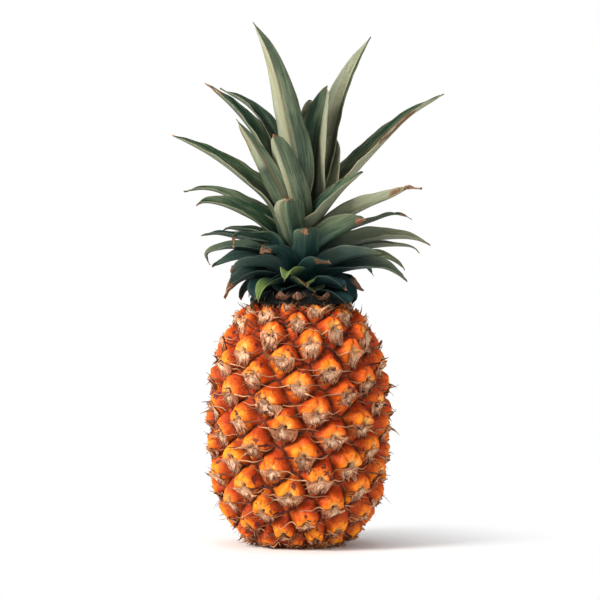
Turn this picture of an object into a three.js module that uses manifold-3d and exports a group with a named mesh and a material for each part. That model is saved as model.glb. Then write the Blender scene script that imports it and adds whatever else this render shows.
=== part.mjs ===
// Pineapple: one whole fresh fruit standing on its cut base, with its crown of leaves.
// Millimetres, +Z up, the origin at the centre of the flat base.
import * as THREE from 'three';
import { mergeVertices } from 'three/addons/utils/BufferGeometryUtils.js';
import Module from 'manifold-3d';

// ---- driving dimensions --------------------------------------------------
// fruit outline: [height, radius to the tops of the eyes]
const FRUIT_PROFILE = [
  [0, 26], [0.7, 27.4], [2.6, 30.4], [5.9, 35.6], [12.5, 42.2], [19.1, 47.5], [25.7, 51.6], [32.3, 54.1],
  [45.5, 56.9], [58.7, 58.3], [71.9, 58.9], [85.1, 59.1], [98.3, 58.4], [111.5, 57.0], [124.7, 54.5],
  [131.3, 52.4], [137.9, 49.5], [144.5, 45.5], [151.1, 40.6], [156.5, 34], [160.2, 26.5], [161.5, 20],
];
const EYE_RISE = 1.3011;          // height gained from one eye to the next on the spiral
const EYE_TURN = 137.5728;        // degrees turned from one eye to the next
const EYE_PHASE = 11.768;         // azimuth of eye number 0
const EYE_FIRST = -12;
const EYE_LAST = 142;
const EYE_EVEN_LOW = 22;          // between these heights the eyes are evenly spaced
const EYE_EVEN_HIGH = 138;
const EYE_SQUEEZE_LOW = 44;       // how many millimetres of even lattice close in at each end
const EYE_SQUEEZE_HIGH = 64;
const EYE_SHOULDER = 0.62;        // where the flank of an eye starts, as a share of the way out
const VALLEY_DEPTH = 4.2;         // crevice between two eyes
const CORNER_DEPTH = 5.6;         // pit where three eyes meet
const STALK_R = 13;               // cut stalk, flush with the base
const STALK_H = 6;
const GAP = 0.3;                  // clearance between touching pieces
const STEM_PROFILE = [[161.8, 12], [165, 11], [180, 9], [200, 6.5], [212, 4], [220, 1.6]];
const LEAF_THICK = 1.3;           // fleshy foot of a leaf
const LEAF_THIN = 0.8;            // near its tip
const LEAF_FOOT = 0.42;           // width where it clasps the stem, as a share of its widest
const LEAF_ROWS = 10;
const CUT_TOLERANCE = 0.08;       // how far a trimmed edge may stray
const LEAF_COLS = 3;

// crown leaves, innermost first:
// name, azimuth of the foot, centreline, width, taper, fold, roll, bluntness of the tip, dry share of the length
const LEAVES = [
  ['leaf_inner_1', -168, [[-6.7, -1.4, 206], [-3.3, -6, 253.5], [-7.9, -6, 279.8], [-13.8, -4, 306.3], [-21.1, -1, 327.7], [-30.4, 3, 345.3]], 27, 1.9, 0.85, 63, 0, 0.03],
  ['leaf_inner_2', 73.9, [[2.1, 7.2, 203], [4.6, 8, 213.3], [8, 9, 241.2], [10.6, 10, 267.8], [14.6, 12, 287.9], [19.3, 15, 304.2]], 33, 2, 0.85, -4, 0.15, 0.05],
  ['leaf_inner_3', 47.5, [[4.9, 5.4, 204], [8.6, 9, 221.3], [16, 16, 248.2], [23.4, 23, 278.8], [29.6, 27, 301.3], [38.4, 31, 321.8], [48.6, 34, 339]], 28, 1.8, 0.9, 14, 0, 0.04],
  ['leaf_inner_4', 92.4, [[-0.3, 6.4, 208], [2.7, 12, 234.7], [4.7, 16, 261.6], [6.7, 18, 283.1], [7.3, 19, 295.2]], 20, 2.6, 0.8, -2, 0.6, 0],
  ['leaf_inner_5', 28.5, [[7.1, 3.9, 200], [11.9, 7, 219.9], [18, 13, 241.4], [21.4, 17, 258.3], [21.4, 19, 271.1]], 29, 2.8, 0.85, 42, 0.6, 0],
  ['leaf_inner_6', -99.8, [[-1.4, -8, 200], [0, -12, 208.6], [-4.6, -17, 234.6], [-11.7, -21, 255.9], [-17.5, -24, 269.3]], 23, 2.4, 0.9, -2, 0.45, 0.06],
  ['leaf_mid_1', 153.6, [[-7.7, 3.8, 196], [-7.3, 4, 224.4], [-20.6, 9, 251.8], [-32.6, 13, 274.7], [-46.1, 17, 291.7], [-62.9, 20, 306.6]], 29, 1.8, 0.95, -4, 0, 0.1],
  ['leaf_mid_2', 122.6, [[-4.5, 7, 198], [-8, 14, 241.4], [-19.4, 22, 272], [-34.3, 30, 292.1], [-53.4, 36, 304.1]], 28, 1.7, 0.9, 13, 0, 0.03],
  ['leaf_mid_3', -132.6, [[-6.2, -6.7, 192], [-5.9, -9, 207.4], [-13.1, -14, 226.9], [-20.2, -18, 241.1], [-26.7, -21, 253.3], [-32.5, -22, 264.3], [-40.9, -23, 279.1]], 24, 1.9, 0.9, 19, 0, 0.06],
  ['leaf_mid_4', 170, [[-9.2, 1.6, 190], [-20.5, 4, 225], [-39.1, 7, 242.4], [-57.8, 10, 256.5], [-72.5, 12, 265.3], [-84.6, 14, 271.4]], 26, 1.6, 0.95, -26, 0, 0.06],
  ['leaf_mid_5', -44, [[6.4, -6.1, 194], [7.2, -10, 202.1], [17, -14, 218.4], [28.7, -18, 233.2], [41.6, -22, 244.7]], 29, 1.9, 0.95, 52, 0, 0.04],
  ['leaf_mid_6', 30.1, [[7.3, 4.3, 197], [9.3, 6, 210.5], [24.6, 14, 229.4], [40.8, 21, 249.8], [58.5, 28, 269.1], [76.2, 33, 286.3], [98.1, 38, 300.9]], 29, 1.8, 0.95, 2, 0, 0.05],
  ['leaf_mid_7', -97.9, [[-1.3, -9.5, 188], [-0.6, -15, 194.2], [-3.2, -22, 203.1], [-5.8, -29, 214.6], [-7.1, -33, 222.8], [-7.7, -35, 226.6]], 24, 3.2, 0.9, 4, 0.9, 0.06],
  ['leaf_mid_8', 9.6, [[9.7, 1.6, 186], [27.1, 5, 211.8], [43.8, 8, 221.9], [60.5, 10, 229.3], [72.5, 11, 235.3], [81.8, 12, 235.3]], 24, 1.6, 0.9, 28, 0, 0.22],
  ['leaf_mid_9', 33.6, [[8.4, 5.6, 184], [13.9, 9, 198], [30.7, 18, 206.9], [49, 26, 214.5], [64.7, 33, 219.5], [76.5, 38, 216.3]], 12, 1.6, 0.9, 2, 0, 0.15],
  ['leaf_mid_10', -41, [[7.7, -6.7, 183], [8.5, -10, 191], [18.9, -17, 200.7], [31.2, -24, 207.6], [43.4, -29, 213.3]], 26, 2.6, 0.9, -24, 0.5, 0.12],
  ['leaf_mid_11', -80.2, [[1.8, -10.3, 181], [3.3, -15, 185], [4.6, -24, 192.7], [5.2, -32, 200.3], [5.2, -37, 206.6]], 22, 4, 0.9, -7, 0.95, 0.1],
  ['leaf_mid_12', 148.1, [[-8.2, 5.1, 188], [-9.3, 6, 204.6], [-24.6, 13, 216.1], [-40.8, 19, 227], [-56.3, 24, 234.6], [-66.5, 27, 236.1], [-77.4, 29, 234.2]], 20, 1.6, 0.9, -12, 0, 0.06],
  ['leaf_mid_13', 177.1, [[-9.8, 0.5, 186], [-24.4, 1, 210.4], [-39, 1, 219], [-52.2, 1, 224.2], [-62.1, 1, 225.6], [-68, 1, 223.6]], 26, 1.8, 1, -37, 0.1, 0.12],
  ['leaf_low_1', 156.4, [[-9.6, 4.2, 181], [-12.6, 6, 196], [-27.3, 12, 204.1], [-39.4, 17, 207.6], [-47.5, 20, 209], [-52.2, 22, 207]], 19, 1.6, 0.9, -12, 0, 0.15],
  ['leaf_low_2', 163.1, [[-10.1, 3.1, 180], [-11.3, 4, 193.3], [-27.2, 8, 198.7], [-42.6, 12, 202.7], [-56, 15, 205.5], [-65.4, 17, 204.2]], 18, 1.5, 0.9, -15, 0, 0.1],
  ['leaf_low_3', -154.5, [[-9.7, -4.6, 179], [-20.3, -11, 200.8], [-33.3, -15, 203.3], [-40.4, -18, 203.9], [-42.3, -19, 199.3], [-42.3, -19, 194.7]], 18, 1.3, 0.9, 2, 0, 0.2],
  ['leaf_low_4', -128.1, [[-6.7, -8.6, 177], [-13, -19, 191.5], [-20.7, -26, 192.6], [-25.2, -30, 191.3]], 20, 2.2, 0.9, -6, 0.3, 0.2],
  ['leaf_low_5', 179.3, [[-11, 0.1, 176], [-24.4, 0, 191.2], [-38.9, 0, 195.2], [-50.8, 0, 195.2], [-60.7, 0, 191.9], [-58.7, 0, 184.6]], 20, 1.4, 0.9, -25, 0, 0.12],
  ['leaf_low_6', -171.1, [[-11.1, -1.7, 174], [-24.4, -4, 186.5], [-38.8, -6, 188.5], [-50.6, -7, 185.8], [-57.1, -8, 183.2]], 23, 1.8, 0.9, -26, 0, 0.1],
  ['leaf_low_7', -148.7, [[-9.7, -5.9, 173], [-20.3, -14, 183.1], [-33.2, -19, 183.7], [-40.9, -23, 182.3], [-44.1, -25, 179]], 19, 2.2, 0.9, 19, 0.3, 0.2],
  ['leaf_drooping_1', -161.5, [[-11, -3.7, 170], [-24.3, -9, 176.6], [-36.6, -13, 174.6], [-44.4, -16, 168.7], [-48.2, -18, 162.2]], 21, 1.8, 0.9, -16, 0, 0.3],
  ['leaf_drooping_2', 164.4, [[-11.4, 3.2, 168], [-24.5, 7, 171.4], [-33.2, 10, 169.5], [-37.9, 12, 164.8]], 15, 2, 0.9, -31, 0.2, 0.5],
  ['leaf_drooping_3', -121.9, [[-6.2, -10, 168], [-7.8, -15, 170], [-16.9, -23, 171.9], [-23.9, -29, 168.6], [-26.5, -32, 159.6]], 17, 1.8, 0.9, 0, 0, 0.12],
  ['leaf_drooping_4', -99.8, [[-2, -11.4, 170], [-1.3, -17, 172.6], [-4.5, -28, 177.7], [-7.7, -37, 178.9], [-9.6, -43, 173]], 21, 1.8, 0.9, 0, 0, 0.15],
  ['leaf_drooping_5', -82.2, [[1.6, -11.8, 167], [2, -17, 168], [3.3, -27, 171.2], [4.5, -35, 171.8], [5.8, -41, 168.6]], 21, 2.2, 0.9, 0, 0.3, 0.2],
  ['leaf_drooping_6', -69.1, [[4.1, -10.6, 172], [7.8, -23, 182.3], [13.6, -32, 185.4], [20.6, -39, 184]], 17, 2.2, 0.9, 0, 0.2, 0.2],
  ['leaf_low_8', 9.4, [[10.5, 1.7, 180], [12.6, 2, 186.6], [28.5, 5, 194.6], [47.1, 8, 200.6], [67.1, 11, 202.7], [79.2, 13, 201.4], [87.3, 14, 197.5]], 24, 1.7, 0.9, 28, 0, 0.08],
  ['leaf_low_9', 24.3, [[9.8, 4.4, 178], [12.6, 6, 184], [30.6, 13, 192.1], [50.8, 20, 196.9], [67.8, 26, 197.8], [76.7, 29, 196.5], [80.8, 30, 192.5]], 15, 1.6, 0.9, 15, 0, 0.1],
  ['leaf_low_10', 14.6, [[10.8, 2.8, 174], [27.2, 7, 184.7], [43.9, 11, 188.1], [57.3, 14, 189.5], [65.4, 16, 186.2], [70.7, 17, 181.5]], 20, 1.6, 0.9, 26, 0, 0.05],
  ['leaf_low_11', -22.8, [[10.1, -4.3, 176], [25.5, -13, 186.4], [39.8, -19, 190.2], [53.9, -24, 191.4]], 24, 2, 0.9, -14, 0.2, 0.08],
  ['leaf_drooping_7', -8.9, [[11.4, -1.8, 171], [25.7, -5, 179.3], [40.1, -7, 182.5], [55.1, -8, 182.5], [65, -9, 177.9], [70.8, -10, 173.3]], 23, 1.7, 0.9, 29, 0, 0.12],
  ['leaf_drooping_8', 14.8, [[11.4, 3, 168], [23.9, 7, 172.8], [33.9, 10, 171.5], [42.6, 12, 166.8]], 19, 2.2, 0.9, 21, 0.2, 0.45],
  ['leaf_drooping_9', -50.9, [[7.4, -9.2, 168], [8.5, -13, 168.7], [16.9, -21, 171.9], [25.3, -27, 171.2], [31, -31, 167.3]], 18, 2, 0.9, 0, 0.2, 0.2],
  ['leaf_shoulder_1', -44.4, [[9, -8.8, 163], [12.4, -16, 163.5], [21.4, -24, 163.4], [29.8, -29, 159.6], [33.6, -31, 154.4]], 20, 2.4, 0.8, 0, 0.3, 0.3],
  ['leaf_shoulder_2', -149.8, [[-10.8, -6.3, 163], [-20.9, -15, 163.5], [-28, -18, 160.2], [-31.3, -19, 155]], 15, 2.4, 0.8, 0, 0.3, 0.4],
  ['leaf_back_1', 72.6, [[2.6, 8.2, 196], [9.4, 24, 211.8], [15.6, 42, 236.1], [20.5, 58, 250.6]], 24, 2, 0.9, 0, 0.2, 0.05],
  ['leaf_back_2', 107.9, [[-2.8, 8.7, 192], [-6, 24, 208.4], [-15.6, 44, 229.4], [-22.7, 62, 242.6], [-26.3, 74, 248.8]], 23, 1.8, 0.9, 0, 0, 0.05],
  ['leaf_back_3', 54.4, [[5.7, 8, 186], [15.4, 20, 198.3], [29.1, 40, 210.3], [40.4, 58, 216.3], [46.3, 72, 214.1]], 21, 1.7, 0.9, 0, 0, 0.08],
  ['leaf_back_4', 87.6, [[0.4, 10.1, 184], [2.7, 24, 201.7], [2, 48, 213.3], [1.3, 68, 216.7], [0.7, 86, 213.1]], 23, 1.8, 0.9, 0, 0, 0.08],
  ['leaf_back_5', 73.1, [[3.2, 10.5, 176], [8.7, 26, 187], [15.7, 50, 194.2], [21.4, 70, 194.7], [25.1, 86, 189.4]], 21, 1.7, 0.9, 0, 0, 0.1],
  ['leaf_back_6', 106.2, [[-3.1, 10.7, 175], [-6.1, 26, 184.3], [-17, 48, 190.1], [-25.5, 66, 190.4], [-30.6, 80, 184.4]], 21, 1.7, 0.9, 0, 0, 0.1],
  ['leaf_back_7', 44.5, [[8.1, 7.9, 173], [19.4, 20, 180.2], [33.1, 36, 185.8], [44.3, 50, 184.7], [51.5, 60, 178]], 18, 1.7, 0.9, 0, 0, 0.12],
  ['leaf_back_8', 143.1, [[-9.2, 6.9, 171], [-18, 14, 177.5], [-31.6, 28, 181.7], [-41.3, 39, 180.5], [-47.7, 47, 174.4]], 18, 1.7, 0.9, 0, 0, 0.15],
  ['leaf_back_9', 87.6, [[0.5, 11.8, 168], [2, 24, 173.6], [1.3, 42, 179.1], [0.7, 56, 177.2], [-0, 66, 168.4]], 20, 1.8, 0.9, 0, 0.2, 0.2],
  ['leaf_back_10', 56, [[6.7, 9.9, 167], [14, 20, 170.2], [25, 36, 175], [32.7, 48, 171.7], [36.2, 55, 162.9]], 17, 1.8, 0.9, 0, 0.2, 0.25],
  ['leaf_back_11', 126.2, [[-7, 9.6, 167], [-12.7, 18, 170.2], [-23.6, 32, 174.3], [-30.6, 42, 171], [-34.1, 49, 162.9]], 17, 1.8, 0.9, 0, 0.2, 0.25],
  ['collar_bract_1', -108, [[-4, -12.2, 161.8], [-7.4, -22.8, 162.8], [-10, -30.9, 161.6], [-11.6, -35.7, 163.2], [-12.2, -37.6, 166.8]], 14, 2.2, 0.6, 0, 0.3, 1],
  ['collar_bract_2', -91, [[-0.2, -12.8, 161.8], [-0.4, -24, 162.8], [-0.6, -32.5, 161.6], [-0.7, -37.5, 163.2], [-0.7, -39.5, 166.8]], 14, 2.2, 0.6, 0, 0.3, 1],
  ['collar_bract_3', -62, [[6, -11.3, 161.8], [11.3, -21.2, 162.8], [15.3, -28.7, 161.6], [17.6, -33.1, 163.2], [18.5, -34.9, 166.8]], 14, 2.2, 0.6, 0, 0.3, 1],
  ['collar_bract_4', 35, [[10.4, 7.4, 161.8], [16.6, 12, 163.5], [19.3, 15, 167.5], [21.4, 18, 170.2]], 14, 2.2, 0.6, 0, 0.3, 1],
];
// short leaves around the fruit's shoulder, grown together into a sheath at the foot; same columns
const COLLAR_SHEATH = [[12.2, 162.5], [14, 162.5], [13.8, 165.6], [12, 165.6]];
const COLLAR_LEAVES = [
  ['collar_01', -112, [[-4.4, -10.9, 164.8], [-7.1, -17.6, 167.8], [-9.7, -24.1, 168.6], [-11.8, -29.2, 166.5]], 22, 2.6, 0.6, 0, 0.3, 0.1],
  ['collar_02', -70, [[4, -11.1, 164.8], [6.5, -17.9, 167.8], [8.9, -24.4, 168.6], [10.8, -29.6, 166.5]], 22, 2.6, 0.6, 0, 0.3, 0.1],
  ['collar_03', -136, [[-8.6, -8.3, 164.5], [-12.9, -12.5, 170], [-19.4, -18.8, 172.3], [-25.2, -24.3, 168], [-27.7, -26.7, 161.5]], 26, 2.6, 0.6, 0, 0.3, 0.1],
  ['collar_04', -28, [[10.6, -5.6, 164.5], [15.9, -8.5, 170], [23.8, -12.7, 172.3], [30.9, -16.4, 168], [34, -18.1, 161.5]], 26, 2.6, 0.6, 0, 0.3, 0.1],
  ['collar_05', 178, [[-12, 0.4, 164.5], [-18, 0.6, 170], [-27, 0.9, 172.3], [-35, 1.2, 168], [-38.5, 1.3, 161.5]], 26, 2.6, 0.6, 0, 0.3, 0.1],
  ['collar_06', 22, [[10.9, 4.4, 164.5], [18.5, 7.5, 167.5], [26, 10.5, 167], [31.5, 12.7, 163.5], [34.8, 14, 158]], 30, 2.6, 0.6, 0, 0.3, 0.1],
  ['collar_07', 78, [[2.5, 11.5, 164.5], [4.2, 19.6, 167.5], [5.8, 27.4, 167], [7.1, 33.3, 163.5], [7.8, 36.7, 158]], 30, 2.6, 0.6, 0, 0.3, 0.1],
  ['collar_08', 132, [[-7.9, 8.8, 164.5], [-13.4, 14.9, 167.5], [-18.7, 20.8, 167], [-22.8, 25.3, 163.5], [-25.1, 27.9, 158]], 30, 2.6, 0.6, 0, 0.3, 0.1],
];

// ---- helpers ---------------------------------------------------------------
const rad = THREE.MathUtils.degToRad;
const clamp = THREE.MathUtils.clamp;
const wasm = await Module();
wasm.setup();

const solidOf = (verts, tris) =>
  new wasm.Manifold(new wasm.Mesh({ numProp: 3, vertProperties: new Float32Array(verts.flat()), triVerts: new Uint32Array(tris.flat()) }));

// ---- fruit -----------------------------------------------------------------
const profileArc = [0];
for (let i = 1; i < FRUIT_PROFILE.length; i++) {
  const [z0, r0] = FRUIT_PROFILE[i - 1], [z1, r1] = FRUIT_PROFILE[i];
  profileArc.push(profileArc[i - 1] + Math.hypot(z1 - z0, r1 - r0));
}
const arcAtHeight = (z) => {
  for (let i = 1; i < FRUIT_PROFILE.length; i++) {
    if (z <= FRUIT_PROFILE[i][0]) {
      const u = (z - FRUIT_PROFILE[i - 1][0]) / (FRUIT_PROFILE[i][0] - FRUIT_PROFILE[i - 1][0]);
      return profileArc[i - 1] + u * (profileArc[i] - profileArc[i - 1]);
    }
  }
  return profileArc.at(-1);
};
const onProfile = (s) => {
  let i = 1;
  while (i < profileArc.length - 1 && s > profileArc[i]) i++;
  const [z0, r0] = FRUIT_PROFILE[i - 1], [z1, r1] = FRUIT_PROFILE[i];
  const u = clamp((s - profileArc[i - 1]) / (profileArc[i] - profileArc[i - 1]), 0, 1);
  return [r0 + u * (r1 - r0), z0 + u * (z1 - z0)];
};
const ARC_LOW = arcAtHeight(EYE_EVEN_LOW), ARC_HIGH = arcAtHeight(EYE_EVEN_HIGH), ARC_END = profileArc.at(-1);
// lattice height -> arc length along the outline; the lattice closes in towards both ends
const latticeArc = (v) => {
  if (v < EYE_EVEN_LOW) {
    const p = 1.2 * EYE_SQUEEZE_LOW / ARC_LOW;
    return ARC_LOW * Math.pow(Math.max(0, 1 - (EYE_EVEN_LOW - v) / EYE_SQUEEZE_LOW), p);
  }
  if (v > EYE_EVEN_HIGH) {
    const span = ARC_END - ARC_HIGH, p = 1.2 * EYE_SQUEEZE_HIGH / span;
    return ARC_END - span * Math.pow(Math.max(0, 1 - (v - EYE_EVEN_HIGH) / EYE_SQUEEZE_HIGH), p);
  }
  return arcAtHeight(v);
};

function fruitSolid(grow) {
  const verts = [], tris = [];
  const add = (x, y, z) => verts.push([x, y, z]) - 1;
  const put = (deg, v, depth) => {
    const s = latticeArc(v);
    const [r, z] = onProfile(s), [ra, za] = onProfile(s - 2), [rb, zb] = onProfile(s + 2);
    const len = Math.hypot(rb - ra, zb - za) || 1;
    const nr = (zb - za) / len, nz = -(rb - ra) / len;
    const d = grow - depth;
    const rr = r + nr * d, zz = Math.max(grow > 0 ? -1 : 0.4, z + nz * d);
    return add(rr * Math.cos(rad(deg)), rr * Math.sin(rad(deg)), zz);
  };
  const eyeAngle = (n) => EYE_PHASE + n * EYE_TURN, eyeHeight = (n) => n * EYE_RISE + 0.095;
  const scale = (v) => {                      // shallower relief where the eyes are small
    const e = 1.5;
    return clamp((latticeArc(v + e) - latticeArc(v - e)) / (2 * e), 0.3, 1);
  };
  const cache = new Map();
  const point = (key, make) => { if (!cache.has(key)) cache.set(key, make()); return cache.get(key); };
  const centre = (n) => point(`c${n}`, () => put(eyeAngle(n), eyeHeight(n), 0));
  const turnTo = (a, b) => ((eyeAngle(b) - eyeAngle(a) + 180) % 360 + 360) % 360 - 180;
  const toward = (a, b, f, depth) => put(eyeAngle(a) + turnTo(a, b) * f, eyeHeight(a) + (eyeHeight(b) - eyeHeight(a)) * f, depth);
  const shoulder = (a, b) => point(`s${a}_${b}`, () => toward(a, b, 0.5 * EYE_SHOULDER, 0.9 * scale(eyeHeight(a))));
  const middle = (a, b) => point(a < b ? `m${a}_${b}` : `m${b}_${a}`, () => toward(a, b, 0.5, VALLEY_DEPTH * scale(eyeHeight(a))));
  const triangle = (a, b, c) => {
    const g = put(eyeAngle(a) + (turnTo(a, b) + turnTo(a, c)) / 3, (eyeHeight(a) + eyeHeight(b) + eyeHeight(c)) / 3, CORNER_DEPTH * scale(eyeHeight(a)));
    for (const [p, q, r] of [[a, b, c], [b, c, a], [c, a, b]]) {
      tris.push([centre(p), shoulder(p, q), shoulder(p, r)], [shoulder(p, q), g, shoulder(p, r)]);
      tris.push([shoulder(p, q), middle(p, q), g], [middle(p, q), shoulder(q, p), g]);
    }
  };
  for (let n = EYE_FIRST; n + 21 <= EYE_LAST; n++) {
    triangle(n, n + 8, n + 21);
    triangle(n, n + 21, n + 13);
  }
  // base and top rings below and above the first and last turn of eyes
  const ring = (tag, n, r, z) => point(`${tag}${n}`, () => add(r * Math.cos(rad(eyeAngle(n))), r * Math.sin(rad(eyeAngle(n))), z));
  const low = [], high = [];
  for (let n = EYE_FIRST; n < EYE_FIRST + 13; n++) low.push([n, n + 8]);
  for (let n = EYE_FIRST; n < EYE_FIRST + 8; n++) low.push([n + 13, n]);
  for (let n = EYE_LAST - 20; n <= EYE_LAST - 8; n++) high.push([n, n + 8]);
  for (let n = EYE_LAST - 20; n <= EYE_LAST - 13; n++) high.push([n + 13, n]);
  const zBase = grow > 0 ? -2 : 0;
  const rBase = FRUIT_PROFILE[0][1] - 0.5;
  const base = (n) => ring('b', n, rBase, zBase), mouth = (n) => ring('q', n, STALK_R + 0.6, zBase), roof = (n) => ring('w', n, STALK_R + 0.6, STALK_H + GAP);
  const recess = add(0, 0, STALK_H + GAP);
  for (const [a, b] of low) {
    tris.push([base(a), shoulder(a, b), centre(a)], [base(a), middle(a, b), shoulder(a, b)], [base(a), base(b), middle(a, b)]);
    tris.push([base(b), shoulder(b, a), middle(a, b)], [base(b), centre(b), shoulder(b, a)]);
    tris.push([base(b), base(a), mouth(a)], [base(b), mouth(a), mouth(b)], [mouth(b), mouth(a), roof(a)], [mouth(b), roof(a), roof(b)], [roof(b), roof(a), recess]);
  }
  const [zTop, rTop] = FRUIT_PROFILE.at(-1);
  const top = (n) => ring('t', n, rTop - 2, zTop + grow), crest = add(0, 0, zTop + grow);
  for (const [a, b] of high) {
    tris.push([centre(a), shoulder(a, b), top(a)], [shoulder(a, b), middle(a, b), top(a)], [top(a), middle(a, b), top(b)]);
    tris.push([middle(a, b), shoulder(b, a), top(b)], [shoulder(b, a), centre(b), top(b)], [top(a), top(b), crest]);
  }
  return solidOf(verts, tris);
}

// ---- stalk and stem --------------------------------------------------------
const stalkSolid = () => wasm.Manifold.cylinder(STALK_H, STALK_R, STALK_R - 0.4, 24);
const stemSolid = (grow) => {
  const pts = [[0, STEM_PROFILE[0][0] - grow], ...STEM_PROFILE.map(([z, r], i) => [r + grow, i ? z + grow : z - grow]), [0, STEM_PROFILE.at(-1)[0] + grow]];
  return wasm.Manifold.revolve([pts], 20);
};

// ---- leaves ----------------------------------------------------------------
function leafSolid([, azimuth, path, width, taper, fold, roll, blunt], grow, rows = LEAF_ROWS) {
  const curve = new THREE.CatmullRomCurve3(path.map((p) => new THREE.Vector3(...p)), false, 'centripetal');
  const C = curve.getSpacedPoints(rows - 1);
  const last = C.length - 1;
  const T = C.map((_, i) => C[Math.min(i + 1, last)].clone().sub(C[Math.max(i - 1, 0)]).normalize());
  if (grow) { C[0] = C[0].clone().addScaledVector(T[0], -grow / 2); C[last] = C[last].clone().addScaledVector(T[last], grow / 2); }
  const across = new THREE.Vector3(-Math.sin(rad(azimuth)), Math.cos(rad(azimuth)), 0);
  const grid = C.map((c, i) => {
    const t = i / last;
    const side = across.clone().addScaledVector(T[i], -across.dot(T[i])).normalize();
    const inner = T[i].clone().cross(side);
    const e = clamp(t / 0.45, 0, 1), turn = rad(roll) * e * e * (3 - 2 * e);
    const s2 = side.clone().multiplyScalar(Math.cos(turn)).addScaledVector(inner, Math.sin(turn));
    const n2 = inner.clone().multiplyScalar(Math.cos(turn)).addScaledVector(side, -Math.sin(turn));
    const foot = LEAF_FOOT + (1 - LEAF_FOOT) * Math.sin(clamp(t / 0.28, 0, 1) * Math.PI / 2);
    const x = clamp((t - 0.28) / 0.72, 0, 1), y = clamp((t - 0.8) / 0.2, 0, 1);
    const w = width * foot * ((1 - blunt) * (0.05 + 0.95 * (1 - Math.pow(x, taper))) + blunt * Math.sqrt(Math.max(0, 1 - 0.97 * y * y))) + grow;
    return Array.from({ length: LEAF_COLS }, (_, k) => {
      const s = 2 * k / (LEAF_COLS - 1) - 1;
      return c.clone().addScaledVector(s2, w / 2 * Math.cos(0.72 * fold) * s).addScaledVector(n2, w / 2 * Math.sin(0.72 * fold) * Math.pow(Math.abs(s), 1.4));
    });
  });
  const verts = [], tris = [];
  const n = LEAF_COLS;
  for (const sign of [1, -1]) {
    grid.forEach((row, i) => row.forEach((p, k) => {
      const du = grid[Math.min(i + 1, last)][k].clone().sub(grid[Math.max(i - 1, 0)][k]);
      const dv = row[Math.min(k + 1, n - 1)].clone().sub(row[Math.max(k - 1, 0)]);
      const normal = du.cross(dv).normalize();
      const half = (LEAF_THICK + (LEAF_THIN - LEAF_THICK) * i / last + grow) / 2;
      const q = p.clone().addScaledVector(normal, sign * half);
      verts.push([q.x, q.y, q.z]);
    }));
  }
  const m = grid.length, at = (s, i, k) => s * m * n + i * n + k;
  const quad = (a, b, c, d) => tris.push([a, b, c], [a, c, d]);
  for (let i = 0; i < last; i++) {
    for (let k = 0; k < n - 1; k++) {
      quad(at(0, i, k), at(0, i + 1, k), at(0, i + 1, k + 1), at(0, i, k + 1));
      quad(at(1, i, k), at(1, i, k + 1), at(1, i + 1, k + 1), at(1, i + 1, k));
    }
    quad(at(0, i, 0), at(1, i, 0), at(1, i + 1, 0), at(0, i + 1, 0));
    quad(at(0, i, n - 1), at(0, i + 1, n - 1), at(1, i + 1, n - 1), at(1, i, n - 1));
  }
  for (let k = 0; k < n - 1; k++) {
    quad(at(0, 0, k), at(0, 0, k + 1), at(1, 0, k + 1), at(1, 0, k));
    quad(at(0, last, k), at(1, last, k), at(1, last, k + 1), at(0, last, k + 1));
  }
  return solidOf(verts, tris);
}

const meets = (a, b) => {
  const p = a.boundingBox(), q = b.boundingBox();
  return [0, 1, 2].every((k) => p.min[k] <= q.max[k] && q.min[k] <= p.max[k]);
};
const biggest = (solid) => solid.decompose().reduce((a, b) => (b.volume() > a.volume() ? b : a));
// drops slivers shorter than a micron and whatever hangs on by them
function tidy(solid) {
  for (let pass = 0; pass < 3; pass++) {
    const mesh = solid.getMesh();
    const geometry = new THREE.BufferGeometry();
    geometry.setAttribute('position', new THREE.BufferAttribute(new Float32Array(mesh.vertProperties), 3));
    geometry.setIndex(new THREE.BufferAttribute(new Uint32Array(mesh.triVerts), 1));
    const merged = mergeVertices(geometry.toNonIndexed(), 2e-3);
    const made = new wasm.Manifold(new wasm.Mesh({ numProp: 3, vertProperties: merged.attributes.position.array, triVerts: new Uint32Array(merged.index.array) }));
    const parts = made.decompose();
    solid = biggest(made);
    if (parts.length === 1 && pass) break;
  }
  return solid;
}

// ---- assembly --------------------------------------------------------------
const pineapple = new THREE.Group();
pineapple.name = 'pineapple';

function place(name, solid, color, roughness) {
  const mesh = solid.getMesh();
  const position = new Float32Array(mesh.numVert * 3);
  for (let i = 0; i < mesh.numVert; i++) for (let k = 0; k < 3; k++) position[3 * i + k] = mesh.vertProperties[mesh.numProp * i + k];
  const geometry = new THREE.BufferGeometry();
  geometry.setAttribute('position', new THREE.BufferAttribute(position, 3));
  geometry.setIndex(new THREE.BufferAttribute(new Uint32Array(mesh.triVerts), 1));
  geometry.computeVertexNormals();
  const piece = new THREE.Mesh(geometry, new THREE.MeshStandardMaterial({ color, roughness, metalness: 0 }));
  piece.name = name;
  pineapple.add(piece);
  return piece;
}

place('fruit', fruitSolid(0), 0xe07a28, 0.55);
place('cut_stalk', stalkSolid(), 0xc9a878, 0.85);
place('crown_stem', stemSolid(0), 0x6d7d4a, 0.7);

const blockers = [{ solid: fruitSolid(GAP + 0.1), grown: true }, { solid: stemSolid(GAP + 0.1), grown: true }];
LEAVES.forEach((row, index) => {
  let solid = leafSolid(row, 0);
  const whole = solid.volume();
  for (const other of blockers) {
    if (!meets(solid, other.solid)) continue;
    solid = solid.subtract(other.solid);
  }
  solid = tidy(biggest(biggest(solid).simplify(CUT_TOLERANCE)));
  blockers.push({ solid: leafSolid(row, 2 * GAP + 0.1) });
  const dry = row[8];
  const piece = place(row[0], solid, dry >= 1 ? 0xa8804f : index % 3 ? 0x3f6048 : 0x55735a, dry >= 1 ? 0.9 : 0.5);
  piece.userData.kept = solid.volume() / whole;
});

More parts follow.
